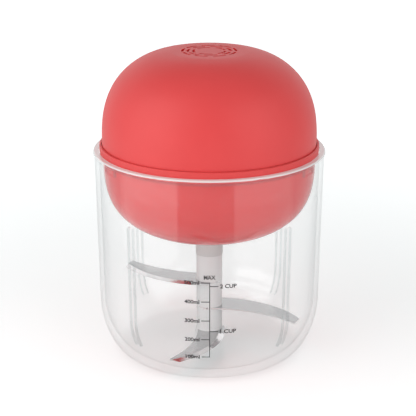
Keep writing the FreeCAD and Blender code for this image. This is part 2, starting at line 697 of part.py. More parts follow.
def make_press_dome():
    """Domed cap that is pressed down, with crown grooves, guide bosses, a switch rod and a port seat."""
    outside = dome_solid()
    shell = outside.cut(dome_solid(DOME_WALL))
    bosses = [piece.common(outside)
              for piece in around(disc(BOSS_R, BOSS_LOW, FAR, POST_AT), POST_COUNT, POST_FIRST)]
    rod = disc(ACTUATOR_R, PLUNGER_TOP + SLIDE_GAP, DOME_TOP, 0, SWITCH_Y).common(outside)
    side = PORT_W / 2
    pad = block(-side - PAD_MARGIN, side + PAD_MARGIN, PORT_SEAT_Y - PAD_T, DOME_R,
                PORT_LOW - PAD_MARGIN, PORT_TOP + PAD_MARGIN).common(outside)
    dome = fused([shell, rod, pad] + bosses)
    cuts = around(disc(POST_R + RUN, 0, BOSS_WEB, POST_AT), POST_COUNT, POST_FIRST)
    cuts += around(disc(DOME_SCREW_R, 0, DOME_SCREW_TOP, POST_AT), POST_COUNT, POST_FIRST)
    cuts.append(block(-side - SLIDE_GAP, side + SLIDE_GAP, PORT_SEAT_Y, DOME_R + OVER,
                      PORT_LOW, PORT_TOP + SLIDE_GAP))
    cuts.append(rod_x(KNUCKLE_R + KNUCKLE_GAP, side + SLIDE_GAP, PORT_HINGE_Y, PORT_LOW))
    half = USB_W / 2 + SLOT_GAP
    cuts.append(block(-half, half, PORT_SEAT_Y - PAD_T - OVER, DOME_R,
                      USB_LOW - SLOT_GAP, USB_TOP + PRESS_TRAVEL + SLOT_GAP))
    for k, count in enumerate(GROOVE_COUNTS):
        groove = crown_groove(GROOVE_R + k * GROOVE_PITCH, count)
        cuts += around(groove, count, GROOVE_FIRST + GROOVE_STAGGER * k)
    return without(dome, cuts)


def make_port_cover():
    """Rubber flap over the charge socket, hinged along its lower edge."""
    side = PORT_W / 2
    plate = block(-side, side, PORT_SEAT_Y + COVER_GAP, DOME_R + OVER, PORT_LOW, PORT_TOP)
    flap = plate.fuse(rod_x(KNUCKLE_R, side, PORT_HINGE_Y, PORT_LOW))
    return flap.common(dome_solid()).removeSplitter()


def make_return_springs():
    """Coil springs round the guide posts."""
    low = PLATE_TOP + SPRING_WIRE_R
    height = BOSS_RISE - 2 * SPRING_WIRE_R
    helix = Part.makeHelix(height / SPRING_TURNS, height, SPRING_R)
    start = V(SPRING_R, 0, 0)
    run = V(0, 2 * pi * SPRING_R * SPRING_TURNS, height).normalize()
    across = V(1, 0, 0)
    upright = run.cross(across)
    turns = [2 * pi * (k + 0.5) / SPRING_SIDES for k in range(SPRING_SIDES + 1)]
    ring = [start + (across * cos(turn) + upright * sin(turn)) * SPRING_WIRE_R for turn in turns]
    coil = Part.Wire(helix.Edges).makePipeShell([Part.makePolygon(ring)], True, True)
    coil.translate(V(POST_AT, 0, low))
    return Part.makeCompound(around(coil, POST_COUNT, POST_FIRST))


def make_dome_screws():
    """Screws up through the guide posts, whose heads stop the dome at the top of its travel."""
    seat = PLATE_LOW - SCREW_STOP_GAP
    one = screw(DOME_SCREW_R, DOME_SCREW_TOP - seat, HEAD_R, HEAD_H, seat, POST_AT, 0, False)
    return Part.makeCompound(around(one, POST_COUNT, POST_FIRST))


# ================================================================ gearbox
def gear_bar(teeth, low_r, high_r, play, low, high):
    """Toothed bar with true involute flanks between a root and a tip radius."""
    pitch_r = MODULE * teeth / 2
    base_r = pitch_r * cos(PRESSURE_ANGLE)
    pitch_inv = tan(PRESSURE_ANGLE) - PRESSURE_ANGLE
    half_pitch = pi / (2 * teeth) - play / (2 * pitch_r)

    def half_angle(radius):
        lean = acos(min(base_r / radius, 1.0))
        return half_pitch + pitch_inv - (tan(lean) - lean)

    def point(radius, angle):
        return V(radius * cos(angle), radius * sin(angle), low)

    start_r = max(base_r, low_r)
    mid_r = (start_r + high_r) / 2
    step = 2 * pi / teeth
    edges = []
    for k in range(teeth):
        c = k * step
        foot, mid, tip = half_angle(start_r), half_angle(mid_r), half_angle(high_r)
        if low_r < start_r - TINY:
            edges.append(Part.makeLine(point(low_r, c - foot), point(start_r, c - foot)))
        edges.append(Part.Arc(point(start_r, c - foot), point(mid_r, c - mid),
                              point(high_r, c - tip)).toShape())
        edges.append(Part.Arc(point(high_r, c - tip), point(high_r, c), point(high_r, c + tip)).toShape())
        edges.append(Part.Arc(point(high_r, c + tip), point(mid_r, c + mid),
                              point(start_r, c + foot)).toShape())
        if low_r < start_r - TINY:
            edges.append(Part.makeLine(point(start_r, c + foot), point(low_r, c + foot)))
        edges.append(Part.Arc(point(low_r, c + foot), point(low_r, c + step / 2),
                              point(low_r, c + step - foot)).toShape())
    return Part.Face(Part.Wire(edges)).extrude(UP * (high - low))


def outer_gear(teeth, low, high):
    """Toothed bar of an ordinary gear."""
    pitch_r = MODULE * teeth / 2
    return gear_bar(teeth, pitch_r - MODULE * DEDENDUM, pitch_r + MODULE * ADDENDUM, BACKLASH, low, high)


def make_gearbox_housing():
    """Round housing whose inside wall is the ring gear, on a flange."""
    pitch_r = MODULE * RING_TEETH / 2
    teeth = gear_bar(RING_TEETH, pitch_r - MODULE * ADDENDUM, RING_ROOT_R, -BACKLASH,
                     GEARBOX_IN, GEARBOX_TOP + OVER)
    body = fused([disc(GEARBOX_R, GEARBOX_LOW, GEARBOX_TOP), disc(FLANGE_R, GEARBOX_LOW, GEARBOX_IN)])
    cuts = [turned(teeth, 180.0 / RING_TEETH), disc(OUT_SHAFT_R + BUSH_WALL, 0, FAR)]
    cuts += around(disc(FLANGE_SCREW_R, 0, FAR, FLANGE_SCREW_AT), FLANGE_COUNT, FLANGE_FIRST)
    pilot = disc(COVER_SCREW_R, MOTOR_LOW - COVER_SCREW_L, FAR, COVER_SCREW_AT)
    return without(body, cuts + around(pilot, FLANGE_COUNT, FLANGE_FIRST))


def make_gearbox_cover():
    """Lid of the gearbox that also carries the motor."""
    lid = disc(GEARBOX_R, GEARBOX_TOP, MOTOR_LOW)
    cuts = [disc(MOTOR_BUSH_R + MOTOR_BUSH_WALL, 0, FAR)]
    cuts += around(disc(COVER_SCREW_R, 0, FAR, COVER_SCREW_AT), FLANGE_COUNT, FLANGE_FIRST)
    cuts += around(disc(MOTOR_SCREW_R, 0, FAR, MOTOR_SCREW_AT), 2)
    return without(lid, cuts)


def make_gearbox_screws():
    """Screws through the gearbox flange into the cup's feet."""
    one = screw(FLANGE_SCREW_R, FLANGE_SCREW_L, FLANGE_HEAD_R, FLANGE_HEAD_H, GEARBOX_IN, FLANGE_SCREW_AT)
    return Part.makeCompound(around(one, FLANGE_COUNT, FLANGE_FIRST))


def make_cover_screws():
    """Small screws through the gearbox lid into its wall."""
    one = screw(COVER_SCREW_R, COVER_SCREW_L, COVER_HEAD_R, COVER_HEAD_H, MOTOR_LOW, COVER_SCREW_AT)
    return Part.makeCompound(around(one, FLANGE_COUNT, FLANGE_FIRST))


def make_output_bushing():
    """Flanged bronze bushing in the gearbox floor."""
    bore = OUT_SHAFT_R + RUN
    wall = tube(OUT_SHAFT_R + BUSH_WALL, bore, GEARBOX_LOW, GEARBOX_IN + BUSH_FLANGE_H)
    return fused([wall, tube(BUSH_FLANGE_R, bore, GEARBOX_IN, GEARBOX_IN + BUSH_FLANGE_H)])


def clip_heights():
    """Lower and upper face of the shaft clip, centred between the seal and the gearbox."""
    seal_top = CUP_LOW + SHAFT_SEAL_RISE + SHAFT_SEAL_H
    middle = (seal_top + GEARBOX_LOW) / 2
    return middle - CLIP_T / 2, middle + CLIP_T / 2


def make_output_shaft():
    """Steel shaft with the hexagonal drive dog below and a spigot for the carrier above."""
    low, high = clip_heights()
    round_part = disc(OUT_SHAFT_R, CUP_LOW, CARRIER_LOW)
    spigot = disc(OUT_SPIGOT_R, CARRIER_LOW - OVER, CARRIER_TOP)
    shaft = fused([hexagon(DOG_FLATS, CUP_LOW - DOG_L, CUP_LOW + OVER), round_part, spigot])
    return shaft.cut(tube(OUT_SHAFT_R + OVER, OUT_SHAFT_R - CLIP_DEEP, low, high))


def make_shaft_clip():
    """Spring clip that keeps the output shaft up in its bushing."""
    low, high = clip_heights()
    return tube(CLIP_R, OUT_SHAFT_R - CLIP_DEEP, low, high)


def make_planet_carrier():
    """Disc that the planet pins stand on."""
    plate = disc(CARRIER_R, CARRIER_LOW, CARRIER_TOP)
    cuts = [disc(OUT_SPIGOT_R, 0, FAR)] + around(disc(PLANET_PIN_R, 0, FAR, PLANET_AT), PLANET_COUNT)
    return without(plate, cuts)


def make_planet_pins():
    """Steel pins that the planets turn on."""
    one = disc(PLANET_PIN_R, CARRIER_LOW, GEARS_TOP + PLANET_PIN_PROUD, PLANET_AT)
    return Part.makeCompound(around(one, PLANET_COUNT))


def make_planet(turn):
    """One planet gear, with a gap between teeth towards the sun."""
    gear = outer_gear(PLANET_TEETH, GEARS_LOW, GEARS_TOP)
    gear = turned(gear, 180.0 / PLANET_TEETH).cut(disc(PLANET_PIN_R + RUN, 0, FAR))
    gear.translate(V(PLANET_AT, 0, 0))
    return turned(gear, turn)


def make_sun_gear():
    """Pinion on the motor shaft."""
    return outer_gear(SUN_TEETH, GEARS_LOW, GEARS_TOP + SUN_PROUD).cut(disc(MOTOR_SHAFT_R, 0, FAR))


# ================================================================ motor
def make_motor_can():
    """Drawn steel can of the motor, with a bush seat in its floor."""
    inside = disc(MOTOR_R - MOTOR_WALL, MOTOR_LOW + MOTOR_WALL, MOTOR_CAN_TOP + OVER)
    seat = disc(MOTOR_BUSH_R + MOTOR_BUSH_WALL, MOTOR_LOW, MOTOR_LOW + MOTOR_BUSH_H)
    can = fused([disc(MOTOR_R, MOTOR_LOW, MOTOR_CAN_TOP).cut(inside), seat])
    cuts = [disc(MOTOR_BUSH_R, 0, FAR)] + around(disc(MOTOR_SCREW_R, 0, FAR, MOTOR_SCREW_AT), 2)
    return without(can, cuts)


def make_motor_cap():
    """Plastic end of the motor with the brush holders."""
    cap = disc(MOTOR_R, MOTOR_CAN_TOP, MOTOR_TOP)
    cup = disc(MOTOR_R - MOTOR_CAP_WALL, MOTOR_CAN_TOP - OVER, MOTOR_TOP - MOTOR_BUSH_H)
    seat = disc(MOTOR_BUSH_R + MOTOR_BUSH_WALL, MOTOR_TOP - MOTOR_BUSH_H, MOTOR_TOP)
    holders = []
    for side in (-1, 1):
        ends = sorted((side * BRUSH_HOLDER_IN, side * BRUSH_HOLDER_OUT))
        holders.append(block(ends[0], ends[1], -BRUSH_W / 2, BRUSH_W / 2,
                             COMMUTATOR_LOW + BRUSH_MARGIN, MOTOR_TOP - BRUSH_MARGIN))
    return fused([cap.cut(cup), seat] + holders).cut(disc(MOTOR_BUSH_R, 0, FAR))


def make_motor_bushes():
    """Bushes at the two ends of the motor shaft."""
    bore = MOTOR_SHAFT_R + RUN
    lows = (MOTOR_LOW, MOTOR_TOP - MOTOR_BUSH_H)
    return Part.makeCompound([tube(MOTOR_BUSH_R, bore, low, low + MOTOR_BUSH_H) for low in lows])


def make_motor_magnets():
    """Two curved magnets inside the can."""
    low = ARMATURE_LOW - MAGNET_LAP
    ring = tube(MOTOR_R - MOTOR_WALL, ARMATURE_R + MAGNET_GAP, low, ARMATURE_TOP + MAGNET_LAP)
    return ring.cut(block(-MAGNET_OPEN, MAGNET_OPEN, -FAR, FAR, 0, FAR))


def make_motor_brushes():
    """Carbon brushes in the cap's holders."""
    brushes = []
    for side in (-1, 1):
        ends = sorted((side * (COMMUTATOR_R + BRUSH_GAP), side * BRUSH_HOLDER_IN))
        brushes.append(block(ends[0], ends[1], -BRUSH_W / 2, BRUSH_W / 2,
                             COMMUTATOR_LOW + BRUSH_MARGIN,
                             COMMUTATOR_LOW + COMMUTATOR_H - BRUSH_MARGIN))
    return Part.makeCompound(brushes)


def make_motor_terminals():
    """Two flat tabs on the motor's end."""
    tabs = []
    for side in (-1, 1):
        x = side * TERMINAL_AT
        tabs.append(block(x - TERMINAL_W / 2, x + TERMINAL_W / 2, -TERMINAL_T / 2, TERMINAL_T / 2,
                          MOTOR_TOP, MOTOR_TOP + TERMINAL_H))
    return Part.makeCompound(tabs)


def make_motor_screws():
    """Screws up through the gearbox lid into the motor's floor."""
    one = screw(MOTOR_SCREW_R, MOTOR_SCREW_L, MOTOR_HEAD_R, MOTOR_HEAD_H, GEARBOX_TOP,
                MOTOR_SCREW_AT, 0, False)
    return Part.makeCompound(around(one, 2))


def make_motor_shaft():
    """Motor shaft from the sun gear to the cap's bush."""
    return disc(MOTOR_SHAFT_R, GEARS_LOW, MOTOR_TOP - END_GAP)


def make_armature():
    """Slotted steel stack on the motor shaft."""
    stack = disc(ARMATURE_R, ARMATURE_LOW, ARMATURE_TOP)
    slot = block(ARMATURE_SLOT_IN, ARMATURE_R + OVER, -ARMATURE_SLOT_W / 2, ARMATURE_SLOT_W / 2, 0, FAR)
    return without(stack, [disc(MOTOR_SHAFT_R, 0, FAR)] + around(slot, ARMATURE_SLOTS))


def make_windings():
    """Copper coil heads over both ends of the stack."""
    radius = ARMATURE_R - WINDING_INSET
    return Part.makeCompound([
        tube(radius, MOTOR_SHAFT_R, ARMATURE_LOW - WINDING_H, ARMATURE_LOW),
        tube(radius, MOTOR_SHAFT_R, ARMATURE_TOP, ARMATURE_TOP + WINDING_H)])


def make_commutator():
    """Segmented copper drum that the brushes ride on."""
    drum = disc(COMMUTATOR_R, COMMUTATOR_LOW, COMMUTATOR_LOW + COMMUTATOR_H)
    wide = COMMUTATOR_GROOVE_W / 2
    groove = block(COMMUTATOR_R - COMMUTATOR_GROOVE, COMMUTATOR_R + OVER, -wide, wide, 0, FAR)
    return without(drum, [disc(MOTOR_SHAFT_R, 0, FAR)] + around(groove, ARMATURE_SLOTS))


# ================================================================ cells, board and switch
def make_battery_cells():
    """Two round lithium cells that stand in the chassis wells."""
    cells = []
    for side in (-1, 1):
        x = side * CELL_AT
        can = disc(CELL_R, CELL_LOW, CELL_TOP - CELL_NUB_H, x)
        nub = disc(CELL_NUB_R, CELL_TOP - CELL_NUB_H - OVER, CELL_TOP, x)
        cells.append(can.fuse(nub).removeSplitter())
    return Part.makeCompound(cells)


def make_control_board():
    """Upright circuit board in the chassis rail."""
    return block(-BOARD_W / 2, BOARD_W / 2, BOARD_Y, BOARD_Y + BOARD_T, PLATE_TOP, BOARD_TOP)


def make_charge_socket():
    """Metal charging socket on the back of the board."""
    side = USB_W / 2
    back = BOARD_Y + BOARD_T
    body = block(-side, side, back, USB_REACH, USB_LOW, USB_TOP)
    long_edges = [edge for edge in body.Edges if edge.BoundBox.YLength > USB_REACH - back - TINY]
    body = body.makeFillet(USB_ROUND, long_edges)
    side -= USB_END_WALL
    mouth = block(-side, side, USB_REACH - USB_DEEP, USB_REACH + OVER,
                  USB_LOW + USB_WALL, USB_TOP - USB_WALL)
    middle = (USB_LOW + USB_TOP) / 2
    side -= USB_TONGUE_IN
    tongue = block(-side, side, USB_REACH - USB_DEEP - OVER, USB_REACH - USB_TONGUE_IN,
                   middle - USB_TONGUE / 2, middle + USB_TONGUE / 2)
    return body.cut(mouth).fuse(tongue).removeSplitter()


def make_micro_switch():
    """Switch body on its stand, with the hole that the plunger slides in."""
    body = block(-SWITCH_W / 2, SWITCH_W / 2, SWITCH_Y - SWITCH_D / 2, SWITCH_Y + SWITCH_D / 2,
                 SWITCH_LOW, SWITCH_TOP)
    hole_low = SWITCH_TOP - PLUNGER_IN - PRESS_TRAVEL - END_GAP
    return body.cut(disc(PLUNGER_R + RUN, hole_low, FAR, 0, SWITCH_Y))


def make_switch_plunger():
    """Plunger that the dome's rod pushes."""
    return disc(PLUNGER_R, SWITCH_TOP - PLUNGER_IN, PLUNGER_TOP, 0, SWITCH_Y)


def make_wire_leads():
    """Straight leads from cells, motor and switch to the board."""
    cell_z = CELL_TOP + LEAD_WIRE_R
    motor_z = MOTOR_TOP + TERMINAL_H - LEAD_WIRE_R
    switch_z = SWITCH_TOP - LEAD_WIRE_R - SWITCH_LEAD_DROP
    wires = []
    for side in (-1, 1):
        board_x = side * (BOARD_W / 2 - CELL_LEAD_IN)
        wires.append(wire_rod(V(side * CELL_AT, 0, cell_z), V(board_x, BOARD_Y, cell_z)))
        x = side * TERMINAL_AT
        wires.append(wire_rod(V(x, TERMINAL_T / 2, motor_z), V(x, BOARD_Y, motor_z)))
        x = side * SWITCH_LEAD_X
        wires.append(wire_rod(V(x, SWITCH_Y + SWITCH_D / 2, switch_z), V(x, BOARD_Y, switch_z)))
    return Part.makeCompound([wire.cut(make_control_board()) for wire in wires])


# ================================================================ all pieces
def make_all():
    """Every piece by its name."""
    pieces = {name: make_blade(*sizes) for name, *sizes in BLADES}
    pieces["blade_column"] = make_column(pieces.values())
    for k in range(PLANET_COUNT):
        pieces["planet_gear_%d" % (k + 1)] = make_planet(k * 360.0 / PLANET_COUNT)
    makers = (
        make_bowl, make_spindle_pin, make_thrust_washer, make_pin_bushings, make_drive_socket,
        make_lower_housing, make_head_collar, make_bowl_seal, make_shaft_seal, make_chassis,
        make_chassis_screws, make_press_dome, make_port_cover, make_return_springs,
        make_dome_screws, make_gearbox_housing, make_gearbox_cover, make_gearbox_screws,
        make_cover_screws, make_output_bushing, make_output_shaft, make_shaft_clip,
        make_planet_carrier, make_planet_pins, make_sun_gear, make_motor_can, make_motor_cap,
        make_motor_bushes, make_motor_magnets, make_motor_brushes, make_motor_terminals,
        make_motor_screws, make_motor_shaft, make_armature, make_windings, make_commutator,
        make_battery_cells, make_control_board, make_charge_socket, make_micro_switch,
        make_switch_plunger, make_wire_leads)
    for maker in makers:
        pieces[maker.__name__.replace("make_", "")] = maker()
    return pieces


os.makedirs("parts", exist_ok=True)
for piece_name, piece in make_all().items():
    piece.exportStep("parts/%s.step" % piece_name)
    print("%-20s solids %d  volume %.1f" % (piece_name, len(piece.Solids), piece.Volume))
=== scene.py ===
"""Looks of a cordless press-top food chopper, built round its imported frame.

Everything is in metres in the frame's own axes: +Z up, the front of the bowl faces -Y, and the
origin is the centre of the bowl's underside. A size in millimetres is a number times MM.
"""
import logging
import math
from dataclasses import dataclass
from enum import Enum

import bmesh
import bpy
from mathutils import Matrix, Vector
from mathutils.bvhtree import BVHTree


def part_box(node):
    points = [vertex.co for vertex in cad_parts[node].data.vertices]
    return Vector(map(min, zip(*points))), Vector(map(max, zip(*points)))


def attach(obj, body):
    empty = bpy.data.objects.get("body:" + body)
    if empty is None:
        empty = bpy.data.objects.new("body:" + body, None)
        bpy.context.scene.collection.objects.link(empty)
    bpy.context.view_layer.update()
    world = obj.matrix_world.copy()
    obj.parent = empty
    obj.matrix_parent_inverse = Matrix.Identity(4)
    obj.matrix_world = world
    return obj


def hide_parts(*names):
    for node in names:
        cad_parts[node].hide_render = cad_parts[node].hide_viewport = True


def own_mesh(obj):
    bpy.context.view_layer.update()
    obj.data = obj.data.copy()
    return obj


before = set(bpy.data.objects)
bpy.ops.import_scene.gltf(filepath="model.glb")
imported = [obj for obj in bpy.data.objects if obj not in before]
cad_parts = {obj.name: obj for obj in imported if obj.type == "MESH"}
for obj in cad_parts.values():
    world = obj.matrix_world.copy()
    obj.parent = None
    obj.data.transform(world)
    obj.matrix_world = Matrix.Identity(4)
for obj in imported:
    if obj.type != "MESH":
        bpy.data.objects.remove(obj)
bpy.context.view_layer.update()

LOG = logging.getLogger("chopper")
MM = 0.001
MERGE = 0.0005 * MM       # vertices nearer than this are one
CREASE = math.radians(32)
WHITE = (1.0, 1.0, 1.0, 1.0)

Colour = tuple[float, float, float, float]
Socket = bpy.types.NodeSocket


def linear(code: str) -> Colour:
    """A colour written as RRGGBB, as the linear values that shaders take.

    Args:
        code: Six hexadecimal digits.

    Returns:
        Red, green, blue and an alpha of one.
    """
    channels = [int(code[k:k + 2], 16) / 255 for k in (0, 2, 4)]
    # The curve that screens use: a straight foot, then a power
    red, green, blue = [c / 12.92 if c <= 0.04045 else ((c + 0.055) / 1.055) ** 2.4 for c in channels]
    return red, green, blue, 1.0


# ================================================================ node helpers
class SocketKind(Enum):
    """Kinds of socket that a node group has."""

    NUMBER = "NodeSocketFloat"
    COUNT = "NodeSocketInt"
    COLOUR = "NodeSocketColor"
    VECTOR = "NodeSocketVector"
    MATERIAL = "NodeSocketMaterial"
    SHAPE = "NodeSocketGeometry"


class Graph:
    """A node tree with short calls for adding and joining nodes."""

    # A Mix node's sockets, by number because their names repeat
    SHARE, FIRST_NUMBER, SECOND_NUMBER, FIRST_COLOUR, SECOND_COLOUR = 0, 2, 3, 6, 7
    MIXED_NUMBER, MIXED_COLOUR = 0, 2

    def __init__(self, tree: bpy.types.NodeTree) -> None:
        """Wraps a tree.

        Args:
            tree: The shader or geometry tree to build in.
        """
        self.tree = tree

    @classmethod
    def fresh(cls, owner: bpy.types.Material | bpy.types.World) -> "Graph":
        """An empty graph for a material or for the world.

        Args:
            owner: What the graph belongs to.

        Returns:
            The graph.
        """
        owner.use_nodes = True
        owner.node_tree.nodes.clear()
        return cls(owner.node_tree)

    def declare(self, way: str, sockets: dict[str, SocketKind]) -> None:
        """Gives the tree sockets of its own, where way is INPUT or OUTPUT."""
        for label, kind in sockets.items():
            self.tree.interface.new_socket(label, in_out=way, socket_type=kind.value)

    def add(self, kind: str, inputs: dict[str | int, object] | None = None,
            **settings: object) -> bpy.types.Node:
        """Adds a node.

        Args:
            kind: The node's type name.
            inputs: Values or sockets for its inputs, by name or number.
            settings: Attributes of the node.

        Returns:
            The new node.
        """
        node = self.tree.nodes.new(kind)
        for name, value in settings.items():
            setattr(node, name, value)
        for name, value in (inputs or {}).items():
            self.feed(node, name, value)
        return node

    def feed(self, node: bpy.types.Node, name: str | int, value: object) -> None:
        """Sets an input, or joins it where the value is another node's output.

        Args:
            node: The node that takes the value.
            name: The input's name or number.
            value: A plain value or a socket.
        """
        if isinstance(value, Socket):
            self.tree.links.new(value, node.inputs[name])
        else:
            node.inputs[name].default_value = value

    def math(self, operation: str, *values: float | Socket) -> Socket:
        """Adds a Math node.

        Args:
            operation: The operation's name.
            values: Numbers or sockets, in order.

        Returns:
            The node's output.
        """
        return self.add("ShaderNodeMath", dict(enumerate(values)), operation=operation).outputs[0]

    def mixed(self, share: float | Socket, first: Colour | Socket, second: Colour | Socket) -> Socket:
        """Adds a colour mix.

        Args:
            share: How much of the second colour.
            first: The first colour.
            second: The second colour.

        Returns:
            The mixed colour.
        """
        inputs = {self.SHARE: share, self.FIRST_COLOUR: first, self.SECOND_COLOUR: second}
        return self.add("ShaderNodeMix", inputs, data_type="RGBA").outputs[self.MIXED_COLOUR]

    def between(self, share: Socket, first: float | Socket, second: float | Socket) -> Socket:
        """A mix of two numbers, where share is how much of the second."""
        inputs = {self.SHARE: share, self.FIRST_NUMBER: first, self.SECOND_NUMBER: second}
        return self.add("ShaderNodeMix", inputs).outputs[self.MIXED_NUMBER]

    def layered(self, share: Socket, first: Socket, second: Socket) -> Socket:
        """A mix of two shaders, where share is how much of the second."""
        return self.add("ShaderNodeMixShader", dict(enumerate((share, first, second)))).outputs[0]

    def part(self, vector: Socket, axis: str) -> Socket:
        """The X, Y or Z part of a vector."""
        return self.add("ShaderNodeSeparateXYZ", {"Vector": vector}).outputs[axis]

    def metal(self, colour: Socket, roughness: Socket, normal: Socket) -> Socket:
        """A metal shader."""
        inputs = {"Metallic": 1.0, "Base Color": colour, "Roughness": roughness, "Normal": normal}
        return self.add("ShaderNodeBsdfPrincipled", inputs).outputs[0]

    def ramp(self, value: Socket, start: float, end: float) -> Socket:
        """Adds a smooth step.

        Args:
            value: What is compared.
            start: Where the step is zero.
            end: Where the step is one.

        Returns:
            A number from zero to one.
        """
        step = {"Value": value, "From Min": start, "From Max": end}
        return self.add("ShaderNodeMapRange", step, interpolation_type="SMOOTHSTEP").outputs["Result"]


# ================================================================ shared surface effects
class SurfaceEffects:
    """Shader groups that several finishes share. Each is built once."""

    cloud_scale: float = 55.0         # slow shifts of a moulding's colour and gloss
    cloud_detail: float = 3.0
    grain_detail: float = 2.0
    grain_height: float = 0.05 * MM
    line_detail: float = 4.0
    line_roughness: float = 0.65
    line_height: float = 0.03 * MM
    even: float = 0.5                 # the middle of a noise's values

    def __init__(self) -> None:
        """Builds the groups."""
        self.skin = self._moulded_skin()
        self.brushed = self._brushed_lines()

    @staticmethod
    def _begin(name: str, takes: dict[str, SocketKind]) -> tuple[Graph, bpy.types.NodeOutputs]:
        """A new shader group that puts out a colour, a roughness and a normal.

        Args:
            name: The group's name.
            takes: Its inputs by name, apart from those that each group has.

        Returns:
            The group's graph and the sockets of its inputs.
        """
        graph = Graph(bpy.data.node_groups.new(name, "ShaderNodeTree"))
        number, colour = SocketKind.NUMBER, SocketKind.COLOUR
        shared = {"Colour": colour, "Shade": colour, "Roughness": number, "Gloss Swing": number}
        graph.declare("INPUT", takes | shared)
        graph.declare("OUTPUT", {"Colour": colour, "Roughness": number, "Normal": SocketKind.VECTOR})
        return graph, graph.add("NodeGroupInput").outputs

    def _end(self, graph: Graph, into: bpy.types.NodeOutputs, noise: Socket, share: Socket,
             bumps: dict[str, float | Socket]) -> bpy.types.NodeTree:
        """Ends a group with a shaded colour, a swinging roughness and a bumpy normal.

        Args:
            graph: The group's graph.
            into: The sockets of its inputs.
            noise: What the roughness swings with.
            share: How much of the shade the colour gets.
            bumps: The inputs of the bumps.

        Returns:
            The finished group.
        """
        swing = graph.math("MULTIPLY", graph.math("SUBTRACT", noise, self.even), into["Gloss Swing"])
        graph.add("NodeGroupOutput", {
            "Colour": graph.mixed(share, into["Colour"], into["Shade"]),
            "Roughness": graph.math("ADD", into["Roughness"], swing),
            "Normal": graph.add("ShaderNodeBump", bumps).outputs["Normal"]})
        return graph.tree

    def _moulded_skin(self) -> bpy.types.NodeTree:
        """Fine moulded grain with slight shifts of colour and gloss.

        Returns:
            The group.
        """
        number = SocketKind.NUMBER
        graph, into = self._begin(
            "moulded_skin", {"Mottle": number, "Grain Scale": number, "Grain Depth": number})
        place = graph.add("ShaderNodeTexCoord").outputs["Object"]
        clouds = graph.add("ShaderNodeTexNoise", {
            "Vector": place, "Scale": self.cloud_scale, "Detail": self.cloud_detail}).outputs["Fac"]
        grain = graph.add("ShaderNodeTexNoise", {
            "Vector": place, "Scale": into["Grain Scale"], "Detail": self.grain_detail}).outputs["Fac"]
        return self._end(graph, into, clouds, graph.math("MULTIPLY", clouds, into["Mottle"]), {
            "Height": grain, "Strength": into["Grain Depth"], "Distance": self.grain_height})

    def _brushed_lines(self) -> bpy.types.NodeTree:
        """Fine parallel lines of ground or brushed metal.

        Returns:
            The group.
        """
        graph, into = self._begin(
            "brushed_lines", {"Vector": SocketKind.VECTOR, "Line Depth": SocketKind.NUMBER})
        lines = graph.add("ShaderNodeTexNoise", {
            "Vector": into["Vector"], "Scale": 1.0, "Detail": self.line_detail,
            "Roughness": self.line_roughness}).outputs["Fac"]
        return self._end(graph, into, lines, lines, {
            "Height": lines, "Strength": into["Line Depth"], "Distance": self.line_height})


EFFECTS = SurfaceEffects()


# ================================================================ finishes
@dataclass(frozen=True)
class Finish:
    """A named finish, whose material is made once."""

    name: str

    def material(self) -> bpy.types.Material:
        """The finish's material, made on first use.

        Returns:
            The material.
        """
        found = bpy.data.materials.get(self.name)
        if found:
            return found
        made = bpy.data.materials.new(self.name)
        graph = Graph.fresh(made)
        graph.add("ShaderNodeOutputMaterial", {"Surface": self.surface(graph)})
        return made

    def dress(self, mesh: bpy.types.Mesh) -> None:
        """Makes this finish a mesh's only one."""
        mesh.materials.clear()
        mesh.materials.append(self.material())

    def surface(self, graph: Graph) -> Socket:
        """Builds the shader. Each kind of finish has its own."""
        raise NotImplementedError


@dataclass(frozen=True)
class Moulded(Finish):
    """Moulded plastic or rubber with a fine grain."""

    colour: str
    shade: str
    roughness: float = 0.45
    mottle: float = 0.5               # how much of the shade the clouds bring
    grain_scale: float = 5200.0
    grain_depth: float = 0.25
    gloss_swing: float = 0.06         # how far the clouds move the roughness
    coat: float = 0.0
    coat_roughness: float = 0.08
    specular: float = 0.5

    def skin(self, graph: Graph) -> bpy.types.Node:
        """The moulded skin with this finish's values.

        Args:
            graph: The material's graph.

        Returns:
            The group's node.
        """
        return graph.add("ShaderNodeGroup", {
            "Colour": linear(self.colour), "Shade": linear(self.shade), "Mottle": self.mottle,
            "Grain Scale": self.grain_scale, "Grain Depth": self.grain_depth,
            "Roughness": self.roughness, "Gloss Swing": self.gloss_swing}, node_tree=EFFECTS.skin)

    def surface(self, graph: Graph) -> Socket:
        """A plain plastic shader fed by the moulded skin.

        Args:
            graph: The material's graph.

        Returns:
            The shader.
        """
        skin = self.skin(graph).outputs
        return graph.add("ShaderNodeBsdfPrincipled", {
            "Base Color": skin["Colour"], "Roughness": skin["Roughness"], "Normal": skin["Normal"],
            "Specular IOR Level": self.specular, "Coat Weight": self.coat,
            "Coat Roughness": self.coat_roughness}).outputs[0]


